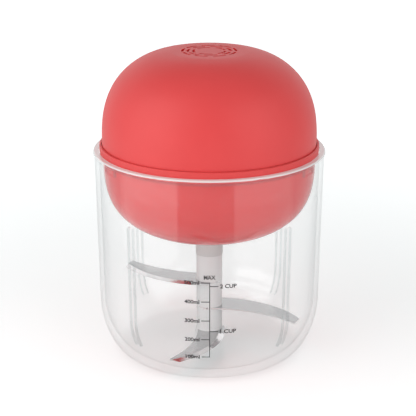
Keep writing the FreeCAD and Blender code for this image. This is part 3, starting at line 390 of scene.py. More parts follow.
@dataclass(frozen=True)
class Metal(Finish):
    """Bare metal with fine lines along one direction."""

    colour: str
    shade: str
    roughness: float = 0.25
    line_scale: tuple[float, float, float] = (400.0, 9000.0, 400.0)
    line_turn: float = 0.0            # degrees about the axis, from lines along X
    line_depth: float = 0.25
    gloss_swing: float = 0.10         # how far the lines move the roughness

    def lines(self, graph: Graph) -> bpy.types.Node:
        """The brushed lines with this finish's values.

        Args:
            graph: The material's graph.

        Returns:
            The group's node.
        """
        place = graph.add("ShaderNodeTexCoord").outputs["Object"]
        turn = graph.add("ShaderNodeMapping", {
            "Vector": place, "Rotation": (0.0, 0.0, math.radians(self.line_turn))})
        stretch = graph.add("ShaderNodeVectorMath", {0: turn.outputs["Vector"], 1: self.line_scale},
                            operation="MULTIPLY")
        return graph.add("ShaderNodeGroup", {
            "Vector": stretch.outputs["Vector"], "Colour": linear(self.colour),
            "Shade": linear(self.shade), "Line Depth": self.line_depth,
            "Roughness": self.roughness, "Gloss Swing": self.gloss_swing}, node_tree=EFFECTS.brushed)

    def surface(self, graph: Graph) -> Socket:
        """A metal shader fed by the brushed lines.

        Args:
            graph: The material's graph.

        Returns:
            The shader.
        """
        lines = self.lines(graph).outputs
        return graph.metal(lines["Colour"], lines["Roughness"], lines["Normal"])


@dataclass(frozen=True)
class BladeSteel(Metal):
    """Brushed blade steel. What lies between its two flat faces is ground and polished, and paler than the
    steel as a painted highlight.
    """

    low: float = 0.0                  # heights of the two flat faces
    high: float = 0.0
    face_depth: float = 0.01 * MM     # what lies this close to a flat face belongs to it
    # painted highlight: the ground bevel's colour, paler than any steel, in place of the white surroundings
    # it mirrors
    ground_painted_highlight: str = "F2F2F3"
    ground_roughness: float = 0.1

    def surface(self, graph: Graph) -> Socket:
        """A metal shader that is polished on the bevel and the edges, which are also painted paler as a
        highlight.

        Args:
            graph: The material's graph.

        Returns:
            The shader.
        """
        lines = self.lines(graph).outputs
        height = graph.part(graph.add("ShaderNodeTexCoord").outputs["Object"], "Z")
        under_top = graph.math("LESS_THAN", height, self.high - self.face_depth)
        over_foot = graph.math("GREATER_THAN", height, self.low + self.face_depth)
        # Painted highlight: the ground bevel gets a paler colour than the steel
        ground_painted_highlight = graph.math("MULTIPLY", under_top, over_foot)
        colour = graph.mixed(ground_painted_highlight, lines["Colour"], linear(self.ground_painted_highlight))
        gloss = graph.between(ground_painted_highlight, lines["Roughness"], self.ground_roughness)
        return graph.metal(colour, gloss, lines["Normal"])


@dataclass(frozen=True)
class ClearPlastic(Moulded):
    """Clear polished plastic: it shows what is behind it and mirrors its surroundings at a slant, with a
    painted pale rim, painted shade on rib flanks and a slant tint that is partly painted shade.
    """

    face_tint: str = "FEFEFE"         # looked straight through
    slant_tint_and_shade: str = "F0F1F1"         # and at a slant, partly for the longer path through the plastic and partly as painted shade for the dark edges that refraction draws
    tint_power: float = 5.0
    shadow_tint: str = "F7F7F7"
    mirror: float = 0.045             # share of the mirror where it is seen straight on
    slant_power: float = 8.0
    rim_low: float = 0.0              # heights between which the painted pale rim fades in, a painted reflection of the white surroundings
    rim_high: float = 0.0
    # painted light: the pale rim's share and lit white colour stand in for the white surroundings that the
    # real rim refracts and mirrors
    painted_rim_share: float = 0.9
    painted_rim_colour: str = "F4F2F1"
    radius: float = 1.0               # of the wall, from the axis
    # painted shade: a darker film on the flanks of ribs and lugs, in place of the dark lines that they
    # refract
    painted_flank_shade: str = "E9EBEB"
    flank_start: float = 0.4          # sine of a face's turn from the way out, where the painted flank shade begins
    flank_full: float = 0.8           # and where it is one

    def surface(self, graph: Graph) -> Socket:
        """A clear film under a mirror that grows with the slant, and a painted pale rim in place of the
        white surroundings that the real rim refracts and mirrors.

        Args:
            graph: The material's graph.

        Returns:
            The shader.
        """
        coordinates = graph.add("ShaderNodeTexCoord").outputs
        facing = graph.add("ShaderNodeLayerWeight", {"Blend": 0.5}).outputs["Facing"]
        tint = self._tint(graph, facing, coordinates)
        film = graph.add("ShaderNodeBsdfTransparent", {"Color": tint}).outputs[0]
        skin = self.skin(graph).outputs
        polish = graph.metal(skin["Colour"], skin["Roughness"], skin["Normal"])
        slant = graph.math("POWER", facing, self.slant_power)
        share = graph.math("MULTIPLY_ADD", slant, 1.0 - self.mirror, self.mirror)
        glaze = graph.layered(share, film, polish)
        # Painted light: the pale rim is a lit white in place of the white surroundings that the real rim
        # refracts and mirrors
        rise = graph.ramp(graph.part(coordinates["Object"], "Z"), self.rim_low, self.rim_high)
        painted_rim_light = graph.add("ShaderNodeBsdfPrincipled", {
            "Base Color": linear(self.painted_rim_colour), "Roughness": self.roughness}).outputs[0]
        whole = graph.layered(graph.math("MULTIPLY", rise, self.painted_rim_share), glaze, painted_rim_light)
        rays = graph.add("ShaderNodeLightPath").outputs
        thin = graph.math("MAXIMUM", rays["Is Shadow Ray"], rays["Is Diffuse Ray"])
        pale = graph.add("ShaderNodeBsdfTransparent", {"Color": linear(self.shadow_tint)}).outputs[0]
        return graph.layered(thin, whole, pale)

    def _tint(self, graph: Graph, facing: Socket, coordinates: bpy.types.NodeOutputs) -> Socket:
        """The film's colour: darker at a slant, partly for the longer path through the plastic and partly
        as painted shade for refraction's dark edges, and darker on the flanks of ribs and lugs as painted
        shade for the dark lines that they refract.

        Args:
            graph: The material's graph.
            facing: How slanted the surface is, from zero to one.
            coordinates: The outputs of Texture Coordinate.

        Returns:
            The colour.
        """
        depth = graph.math("POWER", facing, self.tint_power)
        wall = graph.mixed(depth, linear(self.face_tint), linear(self.slant_tint_and_shade))
        cross = graph.add("ShaderNodeVectorMath", {0: coordinates["Object"], 1: coordinates["Normal"]},
                          operation="CROSS_PRODUCT").outputs["Vector"]
        sideways = graph.math("ABSOLUTE", graph.part(cross, "Z"))
        # Painted shade on the flanks of ribs and lugs
        painted_flank_mask = graph.ramp(sideways, self.flank_start * self.radius, self.flank_full * self.radius)
        return graph.mixed(painted_flank_mask, wall, linear(self.painted_flank_shade))


def in_sight(graph: Graph, rays: bpy.types.NodeOutputs) -> Socket:
    """One where the camera sees a surface itself or through glass, and zero elsewhere.

    Args:
        graph: The graph that asks.
        rays: The outputs of its Light Path.

    Returns:
        One or zero.
    """
    return graph.math("MAXIMUM", rays["Is Camera Ray"], rays["Is Transmission Ray"])


@dataclass(frozen=True)
class Paper(Finish):
    """Paper with a light of its own that stays white where it is seen and keeps soft shadows, and painted
    shade where it lies under the bowl.
    """

    colour: str = "FCFCFC"
    glow: str = "F9FFFF"
    near_lift: float = 0.41           # strength of its own light within near
    far_lift: float = 0.75            # and past far, where the lamps fall off
    near: float = 0.12                # metres from the object's axis
    far: float = 0.60
    painted_shade_under_bowl: float = 0.8           # share of that strength within the bowl's edge: painted shade on the floor under the bowl
    bowl_edge: tuple[float, float] = (0.046, 0.054)
    gloss: float = 0.6                # share of that strength that gloss shows, behind front
    front: tuple[float, float] = (-0.12, 0.05)  # Y before which gloss shows none, and past which its share

    def surface(self, graph: Graph) -> Socket:
        """A matt white that also shines by itself.

        Args:
            graph: The material's graph.

        Returns:
            The shader.
        """
        matt = graph.add("ShaderNodeBsdfDiffuse", {"Color": linear(self.colour)}).outputs[0]
        glow = graph.add("ShaderNodeEmission", {
            "Color": linear(self.glow), "Strength": self._light(graph)}).outputs[0]
        return graph.add("ShaderNodeAddShader", {0: matt, 1: glow}).outputs[0]

    def _light(self, graph: Graph) -> Socket:
        """How strong the paper's own light is, less under the bowl as painted shade.

        Args:
            graph: The material's graph.

        Returns:
            The strength.
        """
        rays = graph.add("ShaderNodeLightPath").outputs
        place = graph.add("ShaderNodeTexCoord").outputs["Object"]
        behind = graph.ramp(graph.part(place, "Y"), *self.front)
        dim = graph.math("MULTIPLY", rays["Is Glossy Ray"], self.gloss)
        seen = graph.math("MAXIMUM", in_sight(graph, rays), graph.math("MULTIPLY", dim, behind))
        reach = graph.add("ShaderNodeVectorMath", {0: place}, operation="LENGTH").outputs["Value"]
        rise = graph.math("MULTIPLY_ADD", graph.ramp(reach, self.near, self.far),
                          self.far_lift - self.near_lift, self.near_lift)
        # Painted shade: less of the paper's own light under the bowl
        outside = graph.math("MULTIPLY_ADD", graph.ramp(reach, *self.bowl_edge),
                             1.0 - self.painted_shade_under_bowl, self.painted_shade_under_bowl)
        return graph.math("MULTIPLY", seen, graph.math("MULTIPLY", rise, outside))


SOFT_RED = Moulded("soft_touch_red", "E94B4B", "DE4445", roughness=0.44, specular=0.36)
CUP_RED = Moulded("polished_red", "F03B3C", "E63536", roughness=0.14, grain_depth=0.0)
SEAL_RED = Moulded("silicone_red", "CE4448", "C23A3E", roughness=0.62, grain_depth=0.4)
FROSTED = Moulded("frosted_grey", "F1F3F3", "EAEDED", roughness=0.32, coat=0.3, coat_roughness=0.12)
GREY = Moulded("satin_grey", "DADDDC", "D2D5D4", roughness=0.34)
SCALE_INK = Moulded("scale_ink", "2A2A2B", "232324", roughness=0.5, grain_depth=0.1)
POLISHED = Metal("polished_steel", "D2D2D4", "C8C8CA", roughness=0.12, line_depth=0.05)
ZINC = Metal("zinc_plate", "B9BAB6", "A2A39F", roughness=0.34, line_depth=0.1)
SPRING_WIRE = Metal("drawn_wire", "8E8F90", "7C7D7E", roughness=0.3, line_depth=0.1)
CAN_STEEL = Metal("plated_sheet", "B5B6B4", "A5A6A4", roughness=0.3)
BRONZE = Metal("sintered_bronze", "B98D52", "9C733E", roughness=0.42, line_depth=0.4)
COPPER = Metal("enamelled_copper", "C0693A", "A85529", roughness=0.28, line_depth=0.3)
FERRITE = Moulded("ground_ferrite", "3A3A3C", "2E2E30", roughness=0.55, grain_depth=0.5)
CARBON = Moulded("pressed_carbon", "262626", "1C1C1C", roughness=0.6, grain_depth=0.6)
WHITE_NYLON = Moulded("white_nylon", "E6E5E0", "DCDBD5", roughness=0.42)
DARK = Moulded("dark_moulding", "2B2B2E", "222225", roughness=0.48, grain_depth=0.4)
BLACK_RUBBER = Moulded("black_rubber", "242424", "1B1B1B", roughness=0.7, grain_depth=0.6)
CELL_WRAP = Moulded("cell_wrap", "3C74B5", "3468A6", roughness=0.22, grain_depth=0.1)
SOLDER_MASK = Moulded("solder_mask", "1F6B43", "17583A", roughness=0.3, grain_depth=0.2)
WIRE_SLEEVE = Moulded("wire_sleeve", "B8262B", "A71F24", roughness=0.45, grain_depth=0.2)


# ================================================================ mesh helpers
def put(name: str, data: bpy.types.ID) -> bpy.types.Object:
    """Adds an object to the scene.

    Args:
        name: The object's name.
        data: Its mesh, curve, lamp or camera.

    Returns:
        The object.
    """
    made = bpy.data.objects.new(name, data)
    bpy.context.scene.collection.objects.link(made)
    return made


def plain_mesh(holder: bpy.types.Object) -> bpy.types.Mesh:
    """Turns what an object shows into a plain mesh, and removes the object.

    Args:
        holder: An object with words or live modifiers.

    Returns:
        The mesh.
    """
    evaluated = holder.evaluated_get(bpy.context.evaluated_depsgraph_get())
    made = bpy.data.meshes.new_from_object(evaluated)
    bpy.data.objects.remove(holder)
    return made


def finish_piece(mesh: bpy.types.Mesh, name: str, body: str, finish: Finish) -> bpy.types.Object:
    """Closes a made mesh, turns its faces outwards, dresses it and lets it ride on a body.

    Args:
        mesh: The mesh, with its place in its vertices.
        name: The new piece's name.
        body: The body that it moves with.
        finish: Its finish.

    Returns:
        The new piece.
    """
    made = bmesh.new()
    made.from_mesh(mesh)
    bmesh.ops.remove_doubles(made, verts=made.verts, dist=MERGE)
    bmesh.ops.recalc_face_normals(made, faces=made.faces)
    made.to_mesh(mesh)
    made.free()
    mesh.shade_smooth()
    mesh.set_sharp_from_angle(angle=CREASE)
    finish.dress(mesh)
    piece = put(name, mesh)
    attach(piece, body)
    LOG.info("made %s in %s, %d faces, riding on %s", name, finish.name, len(mesh.polygons), body)
    return piece


class ShapeTree(Graph):
    """A Geometry Nodes tree with named sizes, whose result is kept as one plain mesh."""

    def __init__(self, name: str, sizes: dict[str, SocketKind]) -> None:
        """Starts the tree.

        Args:
            name: The tree's name.
            sizes: Its inputs by name.
        """
        super().__init__(bpy.data.node_groups.new(name, "GeometryNodeTree"))
        self.declare("INPUT", sizes | {"Material": SocketKind.MATERIAL})
        self.declare("OUTPUT", {"Mesh": SocketKind.SHAPE})
        self.sizes = self.add("NodeGroupInput").outputs

    def vector(self, **parts: float | Socket) -> Socket:
        """A vector from its X, Y and Z parts, each zero where it isn't given."""
        return self.add("ShaderNodeCombineXYZ", parts).outputs[0]

    def copies(self, points: Socket, shape: Socket, **change: Socket) -> Socket:
        """Copies of a shape on points, each with its Rotation or Scale."""
        inputs = {"Points": points, "Instance": shape} | change
        return self.add("GeometryNodeInstanceOnPoints", inputs).outputs["Instances"]

    def moved(self, shape: Socket, **change: Socket) -> Socket:
        """A shape with a Translation, Rotation or Scale."""
        return self.add("GeometryNodeTransform", {"Geometry": shape} | change).outputs["Geometry"]

    def wire(self, path: Socket, radius: Socket, sides: Socket) -> Socket:
        """Round wire along a path.

        Args:
            path: The curve that it follows.
            radius: The wire's radius.
            sides: The number of its sides.

        Returns:
            The wire with closed ends.
        """
        section = self.add("GeometryNodeCurvePrimitiveCircle", {"Resolution": sides, "Radius": radius})
        return self.add("GeometryNodeCurveToMesh", {
            "Curve": path, "Profile Curve": section.outputs["Curve"], "Fill Caps": True}).outputs["Mesh"]

    def close(self, shape: Socket) -> None:
        """Ends the tree with real geometry in the given material.

        Args:
            shape: What the tree has made.
        """
        real = self.add("GeometryNodeRealizeInstances", {"Geometry": shape}).outputs["Geometry"]
        dressed = self.add("GeometryNodeSetMaterial",
                           {"Geometry": real, "Material": self.sizes["Material"]})
        self.add("NodeGroupOutput", {"Mesh": dressed.outputs["Geometry"]})

    def mesh(self, name: str, finish: Finish, **values: float) -> bpy.types.Mesh:
        """Runs the tree with the given sizes.

        Args:
            name: The mesh's name.
            finish: What the mesh is dressed in.
            values: The tree's inputs, with underscores for spaces.

        Returns:
            The result as a plain mesh.
        """
        holder = put(name, bpy.data.meshes.new(name))
        modifier = holder.modifiers.new(name, "NODES")
        modifier.node_group = self.tree
        given = {key.replace("_", " "): value for key, value in values.items()}
        given["Material"] = finish.material()
        for item in self.tree.interface.items_tree:
            if item.in_out == "INPUT":
                modifier[item.identifier] = given[item.name]
        return plain_mesh(holder)


# ================================================================ sub-assemblies
@dataclass
class SubAssembly:
    """Pieces that go together on the bench."""

    def finishes(self) -> dict[str, Finish]:
        """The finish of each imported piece, by name."""
        return {}

    def make(self) -> None:
        """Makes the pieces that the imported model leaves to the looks, where there are any."""

    def build(self) -> None:
        """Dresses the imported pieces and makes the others."""
        for name, finish in self.finishes().items():
            finish.dress(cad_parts[name].data)
            LOG.info("dressed %s in %s", name, finish.name)
        self.make()


@dataclass
class ClearBowl(SubAssembly):
    """The bowl with the pin and the washer that carry the blades."""

    # height of the painted pale rim band, and of its fade
    rim_band: float = 0.9 * MM
    rim_fade: float = 0.3 * MM

    def finishes(self) -> dict[str, Finish]:
        """Clear plastic with a painted pale rim in place of the white surroundings it refracts and mirrors,
        with bright and white small parts.

        Returns:
            The finishes by the pieces' names.
        """
        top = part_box("bowl")[1]
        rim_low = top.z - self.rim_band
        clear = ClearPlastic("clear_copolyester", "FFFFFF", "F8F9F9", roughness=0.02, grain_depth=0.0,
                             gloss_swing=0.01, rim_low=rim_low, rim_high=rim_low + self.rim_fade,
                             radius=top.x)
        return {"bowl": clear, "spindle_pin": POLISHED, "thrust_washer": WHITE_NYLON}


class Anchor(Enum):
    """Which end of a label stays where it is placed."""

    LEFT = 0.0
    CENTRE = 0.5
    RIGHT = 1.0


@dataclass(frozen=True)
class Label:
    """Words printed on the bowl."""

    words: str
    across: float                     # of its anchor, from the middle of the front
    height: float                     # of its middle
    anchor: Anchor
    width: float
    bold: float = 0.03                # added round the strokes, as a share of the font's size
    curve_joints: int = 3             # cuts in each curved stretch of a letter

    def mesh(self, tall: float, ink: float) -> bpy.types.Mesh:
        """The words on a flat sheet, with X across, Y up and Z out of the wall.

        Args:
            tall: Height of the letters.
            ink: Thickness of the print.

        Returns:
            A mesh of closed letters.
        """
        curve = bpy.data.curves.new(self.words, "FONT")
        curve.body = self.words
        curve.size = 1.0
        curve.offset = self.bold
        curve.extrude = 0.5           # both ways, so the letters are one unit thick
        curve.resolution_u = self.curve_joints
        made = plain_mesh(put(self.words, curve))
        left = min(vertex.co.x for vertex in made.vertices)
        low = min(vertex.co.y for vertex in made.vertices)
        stretch = self.width / (max(vertex.co.x for vertex in made.vertices) - left)
        lift = tall / (max(vertex.co.y for vertex in made.vertices) - low)
        start = self.across - self.anchor.value * self.width
        for vertex in made.vertices:
            vertex.co.x = start + (vertex.co.x - left) * stretch
            vertex.co.y = self.height + (vertex.co.y - low) * lift - tall / 2
            vertex.co.z *= ink
        return made


@dataclass
class PrintedScale(SubAssembly):
    """Measuring scale printed on the front of the bowl."""

    spine: float = 0.2 * MM           # across, from the middle of the front
    low: float = 17.3 * MM            # the lowest mark's height
    step: float = 10.25 * MM          # from mark to mark
    steps: int = 5
    mark: float = 4.4 * MM            # reach of a mark from the spine
    line: float = 0.42 * MM
    line_joints: int = 40             # cuts that let the spine follow the wall
    mark_joints: int = 6
    cup_low: float = 32.0 * MM
    cup_step: float = 24.4 * MM
    cups: int = 2
    label_gap: float = 0.9 * MM
    letters: float = 2.2 * MM
    volume_width: float = 7.8 * MM
    cup_width: float = 8.6 * MM
    full_width: float = 6.0 * MM
    full_rise: float = 2.9 * MM       # the topmost word's middle above the highest mark
    ink: float = 0.03 * MM
    proud: float = 0.04 * MM          # clear of the wall, to the middle of the ink
    probe: float = 0.2                # rays towards the wall start this far from the axis

    def make(self) -> None:
        """Prints the marks and the words on the wall."""
        sheets = [label.mesh(self.letters, self.ink) for label in self._labels()]
        sheets += self._marks()
        finish_piece(self._on_wall(sheets), "printed_scale", "bowl", SCALE_INK)

    def _labels(self) -> list[Label]:
        """Volumes left of the spine, cups right of it and the word for full on top.

        Returns:
            The labels.
        """
        left = self.spine - self.mark - self.label_gap
        right = self.spine + self.mark + self.label_gap
        labels = [Label(f"{100 * (k + 1)}ml", left, self.low + k * self.step, Anchor.RIGHT,
                        self.volume_width) for k in range(self.steps)]
        labels += [Label(f"{k + 1} CUP", right, self.cup_low + k * self.cup_step, Anchor.LEFT,
                         self.cup_width) for k in range(self.cups)]
        top = self.low + (self.steps - 1) * self.step + self.full_rise
        return labels + [Label("MAX", self.spine, top, Anchor.CENTRE, self.full_width)]

    def _marks(self) -> list[bpy.types.Mesh]:
        """The spine and its marks, flat, from one Geometry Nodes tree.

        Returns:
            The volume marks, the cup marks and the spine.
        """
        number, count = SocketKind.NUMBER, SocketKind.COUNT
        tree = ShapeTree("scale_marks", {
            "Count": count, "First Height": number, "Pitch": number, "Start": number,
            "Length": number, "Width": number, "Depth": number, "Cuts Across": count, "Cuts Up": count})
        sizes = tree.sizes
        bar = tree.add("GeometryNodeMeshCube", {
            "Size": tree.vector(X=sizes["Length"], Y=sizes["Width"], Z=sizes["Depth"]),
            "Vertices X": sizes["Cuts Across"], "Vertices Y": sizes["Cuts Up"], "Vertices Z": 2})
        middle = tree.math("MULTIPLY_ADD", sizes["Length"], 0.5, sizes["Start"])
        row = tree.add("GeometryNodeMeshLine", {
            "Count": sizes["Count"], "Start Location": tree.vector(X=middle, Y=sizes["First Height"]),
            "Offset": tree.vector(Y=sizes["Pitch"])})
        tree.close(tree.copies(row.outputs["Mesh"], bar.outputs["Mesh"]))
        tall = (self.steps - 1) * self.step
        marks = {"Width": self.line, "Depth": self.ink, "Cuts_Across": self.mark_joints, "Cuts_Up": 2}
        half = self.line / 2
        volumes = tree.mesh("volume_marks", SCALE_INK, Count=self.steps, First_Height=self.low,
                            Pitch=self.step, Start=self.spine - self.mark, Length=self.mark - half, **marks)
        cups = tree.mesh("cup_marks", SCALE_INK, Count=self.cups, First_Height=self.cup_low,
                         Pitch=self.cup_step, Start=self.spine + half, Length=self.mark - half, **marks)
        spine = tree.mesh("spine", SCALE_INK, Count=1, First_Height=self.low + tall / 2, Pitch=0.0,
                          Start=self.spine - half, Length=self.line, Width=tall + self.line,
                          Depth=self.ink, Cuts_Across=2, Cuts_Up=self.line_joints)
        return [volumes, cups, spine]

    def _on_wall(self, sheets: list[bpy.types.Mesh]) -> bpy.types.Mesh:
        """Wraps flat sheets round the bowl.

        Args:
            sheets: Meshes with X across, Y up and Z out of the wall.

        Returns:
            One mesh on the bowl's outside.
        """
        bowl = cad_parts["bowl"].data
        wall = BVHTree.FromPolygons([vertex.co for vertex in bowl.vertices],
                                    [face.vertices for face in bowl.polygons])
        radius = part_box("bowl")[1].x
        points, faces = [], []
        for sheet in sheets:
            first = len(points)
            points += [self._place(wall, radius, vertex.co) for vertex in sheet.vertices]
            faces += [[first + k for k in face.vertices] for face in sheet.polygons]
            bpy.data.meshes.remove(sheet)
        made = bpy.data.meshes.new("printed_scale")
        made.from_pydata(points, [], faces)
        return made

    def _place(self, wall: BVHTree, radius: float, flat: Vector) -> Vector:
        """Where a point of a flat sheet lies on the bowl.

        Args:
            wall: The bowl's faces.
            radius: The radius that the sheet is wound on.
            flat: The point, with X across, Y up and Z out of the wall.

        Returns:
            The point in the frame.
        """
        out = Vector((math.sin(flat.x / radius), -math.cos(flat.x / radius), 0.0))
        hit, normal, _, _ = wall.ray_cast(out * self.probe + Vector((0.0, 0.0, flat.y)), -out)
        return hit + normal * (self.proud + flat.z)


@dataclass
class BladeTower(SubAssembly):
    """The column with its drive socket, bushings and three blades."""

    # Each blade's direction in degrees round the axis, along which its steel is brushed
    turns: tuple[tuple[str, float], ...] = (
        ("upper_blade", 178.0), ("middle_blade", 0.5), ("lower_blade", -83.8))

    def finishes(self) -> dict[str, Finish]:
        """Satin plastics, bronze and steel that is brushed along each blade.

        Returns:
            The finishes by the pieces' names.
        """
        made: dict[str, Finish] = {"blade_column": FROSTED, "drive_socket": GREY, "pin_bushings": BRONZE}
        for name, turn in self.turns:
            low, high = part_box(name)
            made[name] = BladeSteel(f"{name}_steel", "C6C7C8", "BBBCBD", roughness=0.24, line_turn=-turn,
                                    low=low.z, high=high.z)
        return made


@dataclass
class HeadShell(SubAssembly):
    """The cup that hangs in the bowl, with its collar, seals, chassis and screws."""

    def finishes(self) -> dict[str, Finish]:
        """Polished and soft reds over a dark chassis."""
        return {"lower_housing": CUP_RED, "head_collar": SOFT_RED, "bowl_seal": SEAL_RED,
                "shaft_seal": BLACK_RUBBER, "chassis": DARK, "chassis_screws": ZINC}


@dataclass
class PressDome(SubAssembly):
    """The dome that is pressed down, with its port cover, screws and return springs."""

    wire: float = 0.4 * MM            # radius of the spring wire
    coil: float = 4.4 * MM            # radius of a coil, to the middle of its wire
    coil_turns: float = 5.5
    springs: int = 3                  # one on each post
    first_spring: float = 30.0        # degrees round from the bowl's right
    coil_joints: int = 28             # segments in a turn
    wire_sides: int = 10
    press: float = 3.0 * MM           # how far the dome goes down

    def finishes(self) -> dict[str, Finish]:
        """Soft-touch red with a silicone cover."""
        return {"press_dome": SOFT_RED, "port_cover": SEAL_RED, "dome_screws": ZINC}

    def make(self) -> None:
        """Winds the return springs round their posts, from one Geometry Nodes tree."""
        number, count = SocketKind.NUMBER, SocketKind.COUNT
        tree = ShapeTree("return_springs", {
            "Turns": number, "Height": number, "Coil Radius": number, "Wire Radius": number,
            "Joints": count, "Sides": count, "Count": count, "Post Radius": number,
            "First Angle": number, "Foot": number})
        sizes = tree.sizes
        helix = tree.add("GeometryNodeCurveSpiral", {
            "Resolution": sizes["Joints"], "Rotations": sizes["Turns"], "Height": sizes["Height"],
            "Start Radius": sizes["Coil Radius"], "End Radius": sizes["Coil Radius"]})
        coil = tree.wire(helix.outputs["Curve"], sizes["Wire Radius"], sizes["Sides"])
        posts = tree.add("GeometryNodeMeshCircle",
                         {"Vertices": sizes["Count"], "Radius": sizes["Post Radius"]})
        ring = tree.moved(posts.outputs["Mesh"], Rotation=tree.vector(Z=sizes["First Angle"]),
                          Translation=tree.vector(Z=sizes["Foot"]))
        tree.close(tree.copies(ring, coil))
        low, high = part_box("return_springs")
        mesh = tree.mesh("return_coils", SPRING_WIRE, Turns=self.coil_turns,
                         Height=high.z - low.z - 2 * self.wire, Coil_Radius=self.coil,
                         Wire_Radius=self.wire, Joints=self.coil_joints, Sides=self.wire_sides,
                         Count=self.springs, Post_Radius=-low.y - self.coil - self.wire,
                         First_Angle=math.radians(self.first_spring), Foot=low.z + self.wire)
        springs = finish_piece(mesh, "return_coils", "head", SPRING_WIRE)
        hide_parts("return_springs")
        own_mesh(springs)


@dataclass
class Gearbox(SubAssembly):
    """Planetary gearbox that drives the column."""

    def finishes(self) -> dict[str, Finish]:
        """White nylon gears and housing on steel and bronze.

        Returns:
            The finishes by the pieces' names.
        """
        return {"gearbox_housing": WHITE_NYLON, "gearbox_cover": WHITE_NYLON, "gearbox_screws": ZINC,
                "cover_screws": ZINC, "output_bushing": BRONZE, "output_shaft": POLISHED,
                "shaft_clip": SPRING_WIRE, "planet_carrier": GREY, "planet_pins": POLISHED,
                "planet_gear_1": WHITE_NYLON, "planet_gear_2": WHITE_NYLON,
                "planet_gear_3": WHITE_NYLON, "sun_gear": BRONZE}


@dataclass
class Motor(SubAssembly):
    """Brushed motor with its rotor and windings."""

    coils: int = 5                    # round each end of the rotor
    coil_turns: float = 4.0           # turns in a layer
    layers: int = 4
    wire: float = 0.2 * MM            # radius of the wire
    coil_start: float = 0.75 * MM     # radius of the innermost turn
    coil_at: float = 4.7 * MM         # a coil's middle from the axis
    narrow: float = 0.8               # a coil's width as a share of its length
    turn_joints: int = 20             # segments in a turn
    wire_sides: int = 6

    def finishes(self) -> dict[str, Finish]:
        """Plated steel, ferrite, carbon and copper.

        Returns:
            The finishes by the pieces' names.
        """
        return {"motor_can": CAN_STEEL, "motor_cap": DARK, "motor_bushes": BRONZE,
                "motor_magnets": FERRITE, "motor_brushes": CARBON, "motor_terminals": BRONZE,
                "motor_screws": ZINC, "motor_shaft": POLISHED, "armature": CAN_STEEL,
                "commutator": COPPER}

    def make(self) -> None:
        """Winds the rotor's end coils, from one Geometry Nodes tree."""
        number, count = SocketKind.NUMBER, SocketKind.COUNT
        tree = ShapeTree("rotor_windings", {
            "Coils": count, "Turns": number, "Layers": count, "Wire Radius": number,
            "Start Radius": number, "Coil Place": number, "Narrow": number, "Joints": count,
            "Sides": count, "Foot": number, "Between Ends": number})
        sizes = tree.sizes
        pitch = tree.math("MULTIPLY", sizes["Wire Radius"], 2.0)
        reach = tree.math("MULTIPLY_ADD", sizes["Turns"], pitch, sizes["Start Radius"])
        spiral = tree.add("GeometryNodeCurveSpiral", {
            "Resolution": sizes["Joints"], "Rotations": sizes["Turns"],
            "Start Radius": sizes["Start Radius"], "End Radius": reach, "Height": 0.0})
        disc = tree.wire(spiral.outputs["Curve"], sizes["Wire Radius"], sizes["Sides"])
        stack = tree.add("GeometryNodeMeshLine", {"Count": sizes["Layers"], "Offset": tree.vector(Z=pitch)})
        coil = tree.copies(stack.outputs["Mesh"], disc)
        slim = tree.moved(coil, Scale=tree.vector(X=1.0, Y=sizes["Narrow"], Z=1.0))
        ring = tree.add("GeometryNodeMeshCircle",
                        {"Vertices": sizes["Coils"], "Radius": sizes["Coil Place"]})
        index = tree.add("GeometryNodeInputIndex").outputs[0]
        turn = tree.math("DIVIDE", tree.math("MULTIPLY", index, math.tau), sizes["Coils"])
        end = tree.copies(ring.outputs["Mesh"], slim, Rotation=tree.vector(Z=turn))
        ends = tree.add("GeometryNodeMeshLine", {
            "Count": 2, "Start Location": tree.vector(Z=sizes["Foot"]),
            "Offset": tree.vector(Z=sizes["Between Ends"])})
        tree.close(tree.copies(ends.outputs["Mesh"], end))
        low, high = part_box("windings")
        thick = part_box("armature")[0].z - low.z
        spare = (thick - 2 * self.layers * self.wire) / 2
        mesh = tree.mesh("rotor_coils", COPPER, Coils=self.coils, Turns=self.coil_turns,
                         Layers=self.layers, Wire_Radius=self.wire, Start_Radius=self.coil_start,
                         Coil_Place=self.coil_at, Narrow=self.narrow, Joints=self.turn_joints,
                         Sides=self.wire_sides, Foot=low.z + spare + self.wire,
                         Between_Ends=high.z - low.z - thick)
        coils = finish_piece(mesh, "rotor_coils", "rotor", COPPER)
        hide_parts("windings")


